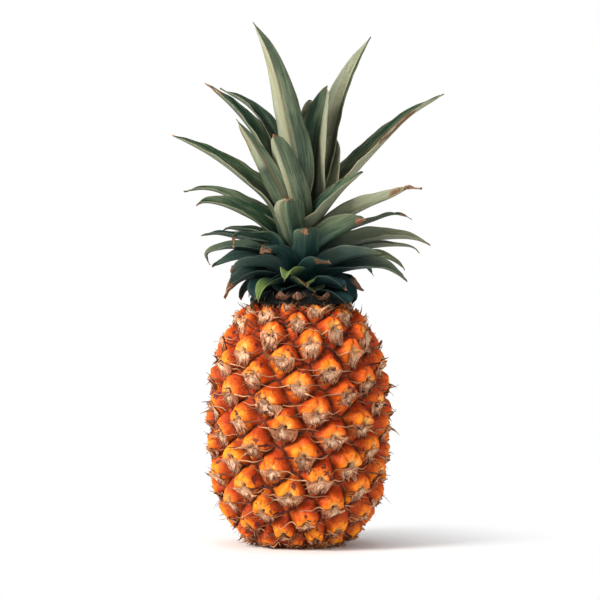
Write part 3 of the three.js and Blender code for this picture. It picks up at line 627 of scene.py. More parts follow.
def build_flakes():
    """thin curled scraps of bract that stand off the fruit"""
    out = []
    info = []
    A, B = 7, 3
    t = np.linspace(0, 1, A)[None, :, None]
    c = np.linspace(-1, 1, B)[None, None, :]
    for extra in range(3):
        idx = BR[hash01(EYES[BR], 80 + extra) > (0.35, 0.55, 0.7)[extra]]
        n = EYES[idx][:, None, None]
        key = n * 19 + extra * 71
        side = np.sign(hash01(key, 1) - 0.5)
        u0, v0 = bract_place(n, side * (0.45 + 0.5 * hash01(key, 2)), 0.10 + 0.34 * hash01(key, 3))
        th = E_TH[idx][:, None, None] + u0 / R_REF
        s = np.clip(E_S[idx][:, None, None] + v0 * E_STRETCH[idx][:, None, None], 1, ARC_END - 2)
        p, nor = over_skin(th, s, 0.5 + 0 * th)
        tang = np.stack([-np.sin(th), np.cos(th), 0 * th], -1)
        up = np.cross(nor, tang)
        L = 4.0 + 7.5 * hash01(key, 4) ** 1.8
        w = 0.45 + 0.75 * hash01(key, 5)
        aim = side * (0.3 + 1.0 * hash01(key, 6))
        rise = (hash01(key, 7) - 0.45) * 1.6
        d = nor * (t * (1 - 0.25 * t))[..., None] + tang * (aim * t ** 1.3)[..., None] + up * (rise * t ** 1.6)[..., None]
        half = w * np.maximum(1 - t, 0.02) ** 0.7 * (0.55 + 0.45 * np.sin(math.pi * np.minimum(t * 1.2 + 0.15, 1)))
        G = p + d * L[..., None] + up * (half * c)[..., None] + nor * (0.25 * w * c * c * np.sin(t * 6))[..., None]
        out.append(G)
        info.append((np.broadcast_to(t, G.shape[:3]), np.broadcast_to(hash01(key, 8), G.shape[:3])))
    G = np.concatenate(out)
    G[..., 2] = np.maximum(G[..., 2], 0.5)
    tt, rr = (np.concatenate([x[k] for x in info]) for k in (0, 1))
    verts, quads, side = sheet_solid(G, np.full(G.shape[:3], 0.14))
    rep2 = lambda x: np.repeat(x[:, None], 2, 1).ravel()
    return new_mesh("fruit_flakes", verts, quads, [("hr", rgba(rep2(tt), rep2(rr), np.full(len(verts), 0.6)))])


flakes = build_flakes()


# ---------------------------------------------------------------- crown leaves
LEAVES = [
    ('leaf_inner_1', -168, [(-6.7, -1.4, 206), (-3.3, -6, 253.5), (-7.9, -6, 279.8), (-13.8, -4, 306.3), (-21.1, -1, 327.7), (-30.4, 3, 345.3)], 27, 1.9, 0.85, 63, 0, 0.03),
    ('leaf_inner_2', 73.9, [(2.1, 7.2, 203), (4.6, 8, 213.3), (8, 9, 241.2), (10.6, 10, 267.8), (14.6, 12, 287.9), (19.3, 15, 304.2)], 33, 2, 0.85, -4, 0.15, 0.05),
    ('leaf_inner_3', 47.5, [(4.9, 5.4, 204), (8.6, 9, 221.3), (16, 16, 248.2), (23.4, 23, 278.8), (29.6, 27, 301.3), (38.4, 31, 321.8), (48.6, 34, 339)], 28, 1.8, 0.9, 14, 0, 0.04),
    ('leaf_inner_4', 92.4, [(-0.3, 6.4, 208), (2.7, 12, 234.7), (4.7, 16, 261.6), (6.7, 18, 283.1), (7.3, 19, 295.2)], 20, 2.6, 0.8, -2, 0.6, 0),
    ('leaf_inner_5', 28.5, [(7.1, 3.9, 200), (11.9, 7, 219.9), (18, 13, 241.4), (21.4, 17, 258.3), (21.4, 19, 271.1)], 29, 2.8, 0.85, 42, 0.6, 0),
    ('leaf_inner_6', -99.8, [(-1.4, -8, 200), (0, -12, 208.6), (-4.6, -17, 234.6), (-11.7, -21, 255.9), (-17.5, -24, 269.3)], 23, 2.4, 0.9, -2, 0.45, 0.06),
    ('leaf_mid_1', 153.6, [(-7.7, 3.8, 196), (-7.3, 4, 224.4), (-20.6, 9, 251.8), (-32.6, 13, 274.7), (-46.1, 17, 291.7), (-62.9, 20, 306.6)], 29, 1.8, 0.95, -4, 0, 0.1),
    ('leaf_mid_2', 122.6, [(-4.5, 7, 198), (-8, 14, 241.4), (-19.4, 22, 272), (-34.3, 30, 292.1), (-53.4, 36, 304.1)], 28, 1.7, 0.9, 13, 0, 0.03),
    ('leaf_mid_3', -132.6, [(-6.2, -6.7, 192), (-5.9, -9, 207.4), (-13.1, -14, 226.9), (-20.2, -18, 241.1), (-26.7, -21, 253.3), (-32.5, -22, 264.3), (-40.9, -23, 279.1)], 24, 1.9, 0.9, 19, 0, 0.06),
    ('leaf_mid_4', 170, [(-9.2, 1.6, 190), (-20.5, 4, 225), (-39.1, 7, 242.4), (-57.8, 10, 256.5), (-72.5, 12, 265.3), (-84.6, 14, 271.4)], 26, 1.6, 0.95, -26, 0, 0.06),
    ('leaf_mid_5', -44, [(6.4, -6.1, 194), (7.2, -10, 202.1), (17, -14, 218.4), (28.7, -18, 233.2), (41.6, -22, 244.7)], 29, 1.9, 0.95, 52, 0, 0.04),
    ('leaf_mid_6', 30.1, [(7.3, 4.3, 197), (9.3, 6, 210.5), (24.6, 14, 229.4), (40.8, 21, 249.8), (58.5, 28, 269.1), (76.2, 33, 286.3), (98.1, 38, 300.9)], 29, 1.8, 0.95, 2, 0, 0.05),
    ('leaf_mid_7', -97.9, [(-1.3, -9.5, 188), (-0.6, -15, 194.2), (-3.2, -22, 203.1), (-5.8, -29, 214.6), (-7.1, -33, 222.8), (-7.7, -35, 226.6)], 24, 3.2, 0.9, 4, 0.9, 0.06),
    ('leaf_mid_8', 9.6, [(9.7, 1.6, 186), (27.1, 5, 211.8), (43.8, 8, 221.9), (60.5, 10, 229.3), (72.5, 11, 235.3), (81.8, 12, 235.3)], 24, 1.6, 0.9, 28, 0, 0.22),
    ('leaf_mid_9', 33.6, [(8.4, 5.6, 184), (13.9, 9, 198), (30.7, 18, 206.9), (49, 26, 214.5), (64.7, 33, 219.5), (76.5, 38, 216.3)], 12, 1.6, 0.9, 2, 0, 0.15),
    ('leaf_mid_10', -41, [(7.7, -6.7, 183), (8.5, -10, 191), (18.9, -17, 200.7), (31.2, -24, 207.6), (43.4, -29, 213.3)], 26, 2.6, 0.9, -24, 0.5, 0.12),
    ('leaf_mid_11', -80.2, [(1.8, -10.3, 181), (3.3, -15, 185), (4.6, -24, 192.7), (5.2, -32, 200.3), (5.2, -37, 206.6)], 22, 4, 0.9, -7, 0.95, 0.1),
    ('leaf_mid_12', 148.1, [(-8.2, 5.1, 188), (-9.3, 6, 204.6), (-24.6, 13, 216.1), (-40.8, 19, 227), (-56.3, 24, 234.6), (-66.5, 27, 236.1), (-77.4, 29, 234.2)], 20, 1.6, 0.9, -12, 0, 0.06),
    ('leaf_mid_13', 177.1, [(-9.8, 0.5, 186), (-24.4, 1, 210.4), (-39, 1, 219), (-52.2, 1, 224.2), (-62.1, 1, 225.6), (-68, 1, 223.6)], 26, 1.8, 1, -37, 0.1, 0.12),
    ('leaf_low_1', 156.4, [(-9.6, 4.2, 181), (-12.6, 6, 196), (-27.3, 12, 204.1), (-39.4, 17, 207.6), (-47.5, 20, 209), (-52.2, 22, 207)], 19, 1.6, 0.9, -12, 0, 0.15),
    ('leaf_low_2', 163.1, [(-10.1, 3.1, 180), (-11.3, 4, 193.3), (-27.2, 8, 198.7), (-42.6, 12, 202.7), (-56, 15, 205.5), (-65.4, 17, 204.2)], 18, 1.5, 0.9, -15, 0, 0.1),
    ('leaf_low_3', -154.5, [(-9.7, -4.6, 179), (-20.3, -11, 200.8), (-33.3, -15, 203.3), (-40.4, -18, 203.9), (-42.3, -19, 199.3), (-42.3, -19, 194.7)], 18, 1.3, 0.9, 2, 0, 0.2),
    ('leaf_low_4', -128.1, [(-6.7, -8.6, 177), (-13, -19, 191.5), (-20.7, -26, 192.6), (-25.2, -30, 191.3)], 20, 2.2, 0.9, -6, 0.3, 0.2),
    ('leaf_low_5', 179.3, [(-11, 0.1, 176), (-24.4, 0, 191.2), (-38.9, 0, 195.2), (-50.8, 0, 195.2), (-60.7, 0, 191.9), (-58.7, 0, 184.6)], 20, 1.4, 0.9, -25, 0, 0.12),
    ('leaf_low_6', -171.1, [(-11.1, -1.7, 174), (-24.4, -4, 186.5), (-38.8, -6, 188.5), (-50.6, -7, 185.8), (-57.1, -8, 183.2)], 23, 1.8, 0.9, -26, 0, 0.1),
    ('leaf_low_7', -148.7, [(-9.7, -5.9, 173), (-20.3, -14, 183.1), (-33.2, -19, 183.7), (-40.9, -23, 182.3), (-44.1, -25, 179)], 19, 2.2, 0.9, 19, 0.3, 0.2),
    ('leaf_drooping_1', -161.5, [(-11, -3.7, 170), (-24.3, -9, 176.6), (-36.6, -13, 174.6), (-44.4, -16, 168.7), (-48.2, -18, 162.2)], 21, 1.8, 0.9, -16, 0, 0.3),
    ('leaf_drooping_2', 164.4, [(-11.4, 3.2, 168), (-24.5, 7, 171.4), (-33.2, 10, 169.5), (-37.9, 12, 164.8)], 15, 2, 0.9, -31, 0.2, 0.5),
    ('leaf_drooping_3', -121.9, [(-6.2, -10, 168), (-7.8, -15, 170), (-16.9, -23, 171.9), (-23.9, -29, 168.6), (-26.5, -32, 159.6)], 17, 1.8, 0.9, 0, 0, 0.12),
    ('leaf_drooping_4', -99.8, [(-2, -11.4, 170), (-1.3, -17, 172.6), (-4.5, -28, 177.7), (-7.7, -37, 178.9), (-9.6, -43, 173)], 21, 1.8, 0.9, 0, 0, 0.15),
    ('leaf_drooping_5', -82.2, [(1.6, -11.8, 167), (2, -17, 168), (3.3, -27, 171.2), (4.5, -35, 171.8), (5.8, -41, 168.6)], 21, 2.2, 0.9, 0, 0.3, 0.2),
    ('leaf_drooping_6', -69.1, [(4.1, -10.6, 172), (7.8, -23, 182.3), (13.6, -32, 185.4), (20.6, -39, 184)], 17, 2.2, 0.9, 0, 0.2, 0.2),
    ('leaf_low_8', 9.4, [(10.5, 1.7, 180), (12.6, 2, 186.6), (28.5, 5, 194.6), (47.1, 8, 200.6), (67.1, 11, 202.7), (79.2, 13, 201.4), (87.3, 14, 197.5)], 24, 1.7, 0.9, 28, 0, 0.08),
    ('leaf_low_9', 24.3, [(9.8, 4.4, 178), (12.6, 6, 184), (30.6, 13, 192.1), (50.8, 20, 196.9), (67.8, 26, 197.8), (76.7, 29, 196.5), (80.8, 30, 192.5)], 15, 1.6, 0.9, 15, 0, 0.1),
    ('leaf_low_10', 14.6, [(10.8, 2.8, 174), (27.2, 7, 184.7), (43.9, 11, 188.1), (57.3, 14, 189.5), (65.4, 16, 186.2), (70.7, 17, 181.5)], 20, 1.6, 0.9, 26, 0, 0.05),
    ('leaf_low_11', -22.8, [(10.1, -4.3, 176), (25.5, -13, 186.4), (39.8, -19, 190.2), (53.9, -24, 191.4)], 24, 2, 0.9, -14, 0.2, 0.08),
    ('leaf_drooping_7', -8.9, [(11.4, -1.8, 171), (25.7, -5, 179.3), (40.1, -7, 182.5), (55.1, -8, 182.5), (65, -9, 177.9), (70.8, -10, 173.3)], 23, 1.7, 0.9, 29, 0, 0.12),
    ('leaf_drooping_8', 14.8, [(11.4, 3, 168), (23.9, 7, 172.8), (33.9, 10, 171.5), (42.6, 12, 166.8)], 19, 2.2, 0.9, 21, 0.2, 0.45),
    ('leaf_drooping_9', -50.9, [(7.4, -9.2, 168), (8.5, -13, 168.7), (16.9, -21, 171.9), (25.3, -27, 171.2), (31, -31, 167.3)], 18, 2, 0.9, 0, 0.2, 0.2),
    ('leaf_shoulder_1', -44.4, [(9, -8.8, 163), (12.4, -16, 163.5), (21.4, -24, 163.4), (29.8, -29, 159.6), (33.6, -31, 154.4)], 20, 2.4, 0.8, 0, 0.3, 0.3),
    ('leaf_shoulder_2', -149.8, [(-10.8, -6.3, 163), (-20.9, -15, 163.5), (-28, -18, 160.2), (-31.3, -19, 155)], 15, 2.4, 0.8, 0, 0.3, 0.4),
    ('leaf_back_1', 72.6, [(2.6, 8.2, 196), (9.4, 24, 211.8), (15.6, 42, 236.1), (20.5, 58, 250.6)], 24, 2, 0.9, 0, 0.2, 0.05),
    ('leaf_back_2', 107.9, [(-2.8, 8.7, 192), (-6, 24, 208.4), (-15.6, 44, 229.4), (-22.7, 62, 242.6), (-26.3, 74, 248.8)], 23, 1.8, 0.9, 0, 0, 0.05),
    ('leaf_back_3', 54.4, [(5.7, 8, 186), (15.4, 20, 198.3), (29.1, 40, 210.3), (40.4, 58, 216.3), (46.3, 72, 214.1)], 21, 1.7, 0.9, 0, 0, 0.08),
    ('leaf_back_4', 87.6, [(0.4, 10.1, 184), (2.7, 24, 201.7), (2, 48, 213.3), (1.3, 68, 216.7), (0.7, 86, 213.1)], 23, 1.8, 0.9, 0, 0, 0.08),
    ('leaf_back_5', 73.1, [(3.2, 10.5, 176), (8.7, 26, 187), (15.7, 50, 194.2), (21.4, 70, 194.7), (25.1, 86, 189.4)], 21, 1.7, 0.9, 0, 0, 0.1),
    ('leaf_back_6', 106.2, [(-3.1, 10.7, 175), (-6.1, 26, 184.3), (-17, 48, 190.1), (-25.5, 66, 190.4), (-30.6, 80, 184.4)], 21, 1.7, 0.9, 0, 0, 0.1),
    ('leaf_back_7', 44.5, [(8.1, 7.9, 173), (19.4, 20, 180.2), (33.1, 36, 185.8), (44.3, 50, 184.7), (51.5, 60, 178)], 18, 1.7, 0.9, 0, 0, 0.12),
    ('leaf_back_8', 143.1, [(-9.2, 6.9, 171), (-18, 14, 177.5), (-31.6, 28, 181.7), (-41.3, 39, 180.5), (-47.7, 47, 174.4)], 18, 1.7, 0.9, 0, 0, 0.15),
    ('leaf_back_9', 87.6, [(0.5, 11.8, 168), (2, 24, 173.6), (1.3, 42, 179.1), (0.7, 56, 177.2), (-0, 66, 168.4)], 20, 1.8, 0.9, 0, 0.2, 0.2),
    ('leaf_back_10', 56, [(6.7, 9.9, 167), (14, 20, 170.2), (25, 36, 175), (32.7, 48, 171.7), (36.2, 55, 162.9)], 17, 1.8, 0.9, 0, 0.2, 0.25),
    ('leaf_back_11', 126.2, [(-7, 9.6, 167), (-12.7, 18, 170.2), (-23.6, 32, 174.3), (-30.6, 42, 171), (-34.1, 49, 162.9)], 17, 1.8, 0.9, 0, 0.2, 0.25),
    ('collar_bract_1', -108, [(-4, -12.2, 161.8), (-7.4, -22.8, 162.8), (-10, -30.9, 161.6), (-11.6, -35.7, 163.2), (-12.2, -37.6, 166.8)], 14, 2.2, 0.6, 0, 0.3, 1),
    ('collar_bract_2', -91, [(-0.2, -12.8, 161.8), (-0.4, -24, 162.8), (-0.6, -32.5, 161.6), (-0.7, -37.5, 163.2), (-0.7, -39.5, 166.8)], 14, 2.2, 0.6, 0, 0.3, 1),
    ('collar_bract_3', -62, [(6, -11.3, 161.8), (11.3, -21.2, 162.8), (15.3, -28.7, 161.6), (17.6, -33.1, 163.2), (18.5, -34.9, 166.8)], 14, 2.2, 0.6, 0, 0.3, 1),
    ('collar_bract_4', 35, [(10.4, 7.4, 161.8), (16.6, 12, 163.5), (19.3, 15, 167.5), (21.4, 18, 170.2)], 14, 2.2, 0.6, 0, 0.3, 1),
]


def leaf_path(points, count):
    """centripetal Catmull-Rom, evenly spaced"""
    P = np.array(points, float)
    n = len(P)
    out = []
    for k in range(241):
        p = (n - 1) * k / 240
        i = int(p)
        w = p - i
        if i >= n - 1:
            i, w = n - 2, 1.0
        p1, p2 = P[i], P[i + 1]
        p0 = P[i - 1] if i > 0 else 2 * P[0] - P[1]
        p3 = P[i + 2] if i + 2 < n else 2 * P[-1] - P[-2]
        d0, d1, d2 = (max(float(np.sum((x - y) ** 2)) ** 0.25, 1e-4) for x, y in ((p0, p1), (p1, p2), (p2, p3)))
        t1 = ((p1 - p0) / d0 - (p2 - p0) / (d0 + d1) + (p2 - p1) / d1) * d1
        t2 = ((p2 - p1) / d1 - (p3 - p1) / (d1 + d2) + (p3 - p2) / d2) * d1
        out.append(p1 + t1 * w + (-3 * p1 + 3 * p2 - 2 * t1 - t2) * w * w + (2 * p1 - 2 * p2 + t1 + t2) * w ** 3)
    C = np.array(out)
    d = np.concatenate([[0], np.cumsum(np.linalg.norm(np.diff(C, axis=0), axis=1))])
    u = np.linspace(0, d[-1], count)
    return np.stack([np.interp(u, d, C[:, k]) for k in range(3)], 1), d[-1]


LM, LN = 46, 13
KEEL = 1.12
# torn or scarred places: leaf -> list of (along, across, reach along, reach across)
SCARS = {
    "leaf_mid_6": [(0.74, -0.8, 0.10, 0.5), (0.62, -0.98, 0.05, 0.22)],
    "leaf_mid_8": [(0.82, 0.2, 0.07, 0.5)],
    "leaf_mid_10": [(0.95, 0.1, 0.08, 0.5)],
    "leaf_mid_7": [(1.0, -0.3, 0.035, 1.0)],
    "leaf_mid_11": [(0.96, 0.2, 0.07, 0.4)],
    "leaf_inner_6": [(1.0, 0.0, 0.03, 1.2)],
    "leaf_mid_1": [(0.95, 0.9, 0.06, 0.4)],
    "leaf_mid_3": [(0.86, 1.0, 0.12, 0.6)],
    "leaf_drooping_6": [(0.85, 0.2, 0.2, 0.7)],
    "leaf_drooping_5": [(0.7, 0.3, 0.2, 0.6)],
    "leaf_low_4": [(0.9, 0.2, 0.15, 0.8)],
}


# painted light: one half of a leaf painted paler, as lit: leaf -> (strength, from where across); minus: the other half
PAINTED_LIGHT_HALVES = {"leaf_inner_1": (0.85, 0.06), "leaf_inner_6": (0.85, 0.15), "leaf_inner_2": (-0.75, 0.45), "leaf_inner_3": (0.8, -0.5),
        "leaf_inner_4": (0.9, -1.2), "leaf_inner_5": (0.8, -1.2), "leaf_mid_3": (0.6, -0.35), "leaf_mid_4": (0.35, -0.2),
        "leaf_mid_5": (-0.6, 0.0), "leaf_mid_6": (-0.9, -0.35), "leaf_mid_7": (0.6, 0.55), "leaf_mid_1": (0.3, 0.6),
        "leaf_mid_8": (0.9, -1.2), "leaf_low_10": (0.5, -1.2), "leaf_low_8": (0.8, -1.2), "leaf_low_9": (0.8, -1.2), "leaf_low_11": (0.5, -1.2), "leaf_drooping_7": (0.5, -1.2),
        "leaf_mid_10": (0.12, -1.2), "leaf_drooping_1": (0.5, -1.2), "leaf_low_7": (0.5, -1.2), "leaf_low_5": (0.4, -1.2)}
GREEN = {"leaf_drooping_3": 1.0, "leaf_drooping_4": 1.0, "leaf_drooping_5": 0.6, "leaf_inner_4": 1.0, "leaf_inner_5": 0.35, "leaf_low_10": 0.4, "leaf_collar_2": 0.3}
TIP = {"leaf_low_3": 0.7, "leaf_low_4": 0.6, "leaf_mid_8": 0.6, "leaf_drooping_1": 0.8, "leaf_mid_9": 0.8, "leaf_drooping_8": 0.7}


def build_leaf(row, number):
    name, azimuth, path, width, taper, fold, roll, blunt, dry = row
    if dry < 1:
        dry *= TIP.get(name, 0.42)
    C, length = leaf_path(path, LM)
    T = np.gradient(C, axis=0)
    T /= np.linalg.norm(T, axis=1)[:, None]
    az = math.radians(azimuth)
    e = np.array([-math.sin(az), math.cos(az), 0])
    side = e - T * (T @ e)[:, None]
    side /= np.linalg.norm(side, axis=1)[:, None]
    inner = np.cross(T, side)
    t = np.linspace(0, 1, LM)
    ph = hash01(number, np.arange(12)) * 6.283
    q = np.clip(t / 0.45, 0, 1)
    turn = math.radians(roll) * q * q * (3 - 2 * q) + 0.05 * np.sin(t * 9 + ph[0]) * smooth(t, 0.3, 0.7)
    dryness = smooth(t, 1 - dry * 1.15 - 0.03, 1 - dry * 0.75) if dry > 0 else 0 * t
    turn = turn + dryness * 0.35 * np.sin(t * 14 + ph[1]) * (dry < 1)
    s2 = side * np.cos(turn)[:, None] + inner * np.sin(turn)[:, None]
    n2 = inner * np.cos(turn)[:, None] - side * np.sin(turn)[:, None]
    foot = 0.55 + 0.45 * np.sin(np.clip(t / 0.28, 0, 1) * math.pi / 2)
    x, y = np.clip((t - 0.28) / 0.72, 0, 1), np.clip((t - 0.8) / 0.2, 0, 1)
    w = width * foot * ((1 - blunt) * (0.02 + 0.98 * (1 - x ** taper)) + blunt * np.sqrt(np.maximum(0, 1 - 0.98 * y * y)))
    w = w * (1 - 0.30 * dryness * (dry < 1)) * (1 + 0.02 * np.sin(t * length / 5 + ph[2]))
    bend = 0.72 * fold * (1 + 0.7 * dryness * (dry < 1)) * (1 + 0.12 * np.sin(t * 6 + ph[3]))
    bend = np.clip(bend, 0.1, 1.35)
    s = np.linspace(-1, 1, LN)
    s = np.sign(s) * np.abs(s) ** 0.9
    W = (w / 2)[:, None]
    S, Tt = np.meshgrid(s, t)
    rip = smooth(np.abs(S), 0.35, 1.0) * (0.25 + 0.35 * dryness[:, None])
    wavy = rip * (np.sin(Tt * length / 3.4 + ph[4] + 1.5 * np.sign(S)) + 0.7 * np.sin(Tt * length / 2.1 + ph[5] * np.sign(S)))
    belly = 0.55 * np.sin(Tt * length / 11 + ph[6]) * (1 - S ** 2) * smooth(Tt, 0.1, 0.4)
    G = C[:, None] + s2[:, None] * (W * np.cos(bend)[:, None] * S)[..., None]
    G = G + n2[:, None] * (W * np.sin(bend)[:, None] * np.abs(S) ** KEEL + wavy + belly * 0.4)[..., None]
    crumple = wob(G, 6, number) * dryness[:, None] * (0.55 if dry < 1 else 0.8)
    G = G + n2[:, None] * crumple[..., None]
    thick = (1.35 - 0.6 * Tt) * (1 - 0.72 * np.abs(S) ** 2) * (1 - 0.45 * dryness[:, None])
    thick = np.maximum(thick, 0.26) * smooth(1.02 - Tt, 0, 0.12) + 0.12
    verts, quads, flag = sheet_solid(G[None], thick[None])
    # colours
    scar = 0 * S
    left = -S * np.sign(s2[8:, 0].mean() + 1e-9)
    for (ta, sa, rt, rs) in SCARS.get(name, []):
        d = np.hypot((Tt - ta) / rt, (left - sa) / rs) + 0.35 * wob(G, 7, 9)
        scar = np.maximum(scar, smooth(1.15 - d, 0, 0.35))
    dr = np.clip(smooth(Tt + 0.10 * dry * wob(G, 9, 3) - 0.02 * np.abs(S), 1 - dry - 0.02, 1 - dry + 0.02) if 0 < dry < 1 else (0 * S + (dry >= 1)), 0, 1)
    dr = np.maximum(dr, scar)
    dark = smooth(Tt, 1 - 0.3 * dry - 0.006, 1.0) * (hash01(number, 70) * 0.8 + 0.2)
    rep = lambda x_: np.concatenate([np.broadcast_to(x_, S.shape).ravel()] * 2)
    c1 = rgba(rep(Tt), rep(S * 0.5 + 0.5), rep(hash01(number, 71)), flag)
    reach, high = np.hypot(G[..., 0], G[..., 1]), G[..., 2]
    west = -S * np.sign(s2[8:, 0].mean() + 1e-9)
    # painted light on one half of the leaf, and a brown line along the edge of that half
    strength, where_from = PAINTED_LIGHT_HALVES.get(name, (0.10 + 0.14 * hash01(number, 74), -0.02))
    if strength < 0:
        west, strength = -west, -strength
    rise = (0.60, 0.66) if name == "leaf_mid_3" else (0.1, 0.4)
    painted_light_half = strength * smooth(west, where_from - 0.05, where_from + 0.06) * smooth(t, *rise)[:, None]
    crease = np.exp(-((west - where_from) / 0.07) ** 2) * min(1.0, strength * 1.6)
    fresh = GREEN.get(name, 0.0) * smooth(Tt, 0.35, 0.75)
    # painted light and shade: greyer high up and far out, darker low at the back, darkest deep in the crown
    painted_light_openness = np.maximum(smooth(high, 178, 240), smooth(reach, 30, 78) * (0.45 + 0.35 * smooth(high, 165, 200)))
    painted_light_openness = painted_light_openness * (1 - 0.35 * smooth(G[..., 1], 0, 40) * (1 - smooth(high, 200, 240)))
    painted_light_openness = np.maximum(painted_light_openness, fresh * 0.7)
    c2 = rgba(rep(dr), rep(dark), rep(smooth(np.abs(S), 0.90, 0.99)), rep(np.clip(painted_light_openness, 0, 1)))
    ob = new_mesh("v_" + name, verts, quads, [("lf", c1), ("lf2", c2)])
    c3 = ob.data.attributes.new("lf3", "FLOAT_COLOR", "POINT")
    c3.data.foreach_set("color", rgba(rep(painted_light_half), rep(fresh), rep(crease), rep(0 * S)).ravel())
    a = ob.data.attributes.new("lpos", "FLOAT_VECTOR", "POINT")
    pos = np.stack([rep(S * W / 1.0), rep(Tt * length), rep(hash01(number, 73) * 90 + 0 * S)], -1)
    a.data.foreach_set("vector", pos.astype(np.float32).ravel())
    return ob


COLLAR = [
    ('leaf_collar_1', -112, [(-4.4, -10.9, 164.8), (-7.1, -17.6, 167.8), (-9.7, -24.1, 168.6), (-11.8, -29.2, 166.5)], 22, 2.6, 0.6, 0, 0.3, 0.1),
    ('leaf_collar_2', -70, [(4, -11.1, 164.8), (6.5, -17.9, 167.8), (8.9, -24.4, 168.6), (10.8, -29.6, 166.5)], 22, 2.6, 0.6, 0, 0.3, 0.1),
    ('leaf_collar_3', -136, [(-8.6, -8.3, 164.5), (-12.9, -12.5, 170), (-19.4, -18.8, 172.3), (-25.2, -24.3, 168), (-27.7, -26.7, 161.5)], 26, 2.6, 0.6, 0, 0.3, 0.1),
    ('leaf_collar_4', -28, [(10.6, -5.6, 164.5), (15.9, -8.5, 170), (23.8, -12.7, 172.3), (30.9, -16.4, 168), (34, -18.1, 161.5)], 26, 2.6, 0.6, 0, 0.3, 0.1),
    ('leaf_collar_5', 178, [(-12, 0.4, 164.5), (-18, 0.6, 170), (-27, 0.9, 172.3), (-35, 1.2, 168), (-38.5, 1.3, 161.5)], 26, 2.6, 0.6, 0, 0.3, 0.1),
    ('leaf_collar_6', 22, [(10.9, 4.4, 164.5), (18.5, 7.5, 167.5), (26, 10.5, 167), (31.5, 12.7, 163.5), (34.8, 14, 158)], 30, 2.6, 0.6, 0, 0.3, 0.1),
    ('leaf_collar_7', 78, [(2.5, 11.5, 164.5), (4.2, 19.6, 167.5), (5.8, 27.4, 167), (7.1, 33.3, 163.5), (7.8, 36.7, 158)], 30, 2.6, 0.6, 0, 0.3, 0.1),
    ('leaf_collar_8', 132, [(-7.9, 8.8, 164.5), (-13.4, 14.9, 167.5), (-18.7, 20.8, 167), (-22.8, 25.3, 163.5), (-25.1, 27.9, 158)], 30, 2.6, 0.6, 0, 0.3, 0.1),
]
leaves = {row[0]: build_leaf(row, k + 1) for k, row in enumerate(LEAVES + COLLAR)}


def build_sheath():
    """dark papery sheath of leaf feet between the fruit's shoulder and the crown; its dark colour is painted shade"""
    prof = np.array([(11.0, 171.5), (15, 170.8), (21, 169.6), (25.5, 167.6), (28.6, 164.6), (30.4, 161.6), (31.0, 159.4), (30.0, 158.8), (27, 159.6), (20, 160.6), (11.5, 161.2)])
    k = np.linspace(0, len(prof) - 1, 44)
    r, z = np.interp(k, np.arange(len(prof)), prof[:, 0]), np.interp(k, np.arange(len(prof)), prof[:, 1])
    th = np.linspace(0, 2 * math.pi, 260, endpoint=False)
    RR, TT = np.meshgrid(r, th, indexing="ij")
    ZZ = np.broadcast_to(z[:, None], RR.shape)
    out = smooth(RR, 14, 30)
    scale = np.abs(np.sin(TT * 6.5 + 0.5 * np.sin(TT * 3) + 0.3)) ** 0.6
    ribs = 0.25 * np.sin(TT * 61 + 3 * np.sin(TT * 5)) + 0.2 * np.sin(TT * 97)
    RR = RR + out * (1.9 * scale - 1.2 + ribs)
    Z2 = ZZ - out * (1 - scale) * 1.6 + 0.3 * ribs
    P = np.stack([RR * np.cos(TT), RR * np.sin(TT), Z2], -1)
    verts = P.reshape(-1, 3)
    quads = grid_quads(len(r), len(th), wrap=True)
    n = len(verts)
    N = len(th)
    j = np.arange(N)
    verts = np.concatenate([verts, [[0, 0, 172], [0, 0, 161.2]]])
    tris = np.concatenate([np.stack([np.full(N, n), j, (j + 1) % N], -1), np.stack([np.full(N, n + 1), (len(r) - 1) * N + (j + 1) % N, (len(r) - 1) * N + j], -1)])
    ob = new_mesh("crown_sheath_painted_shade", verts, quads[:, ::-1], tris=tris[:, ::-1])
    a = ob.data.attributes.new("lpos", "FLOAT_VECTOR", "POINT")
    pos = np.concatenate([np.stack([TT * 34, ZZ, 0 * ZZ], -1).reshape(-1, 3), [[0, 172, 0], [0, 161, 0]]])
    a.data.foreach_set("vector", pos.astype(np.float32).ravel())
    return ob


sheath = build_sheath()


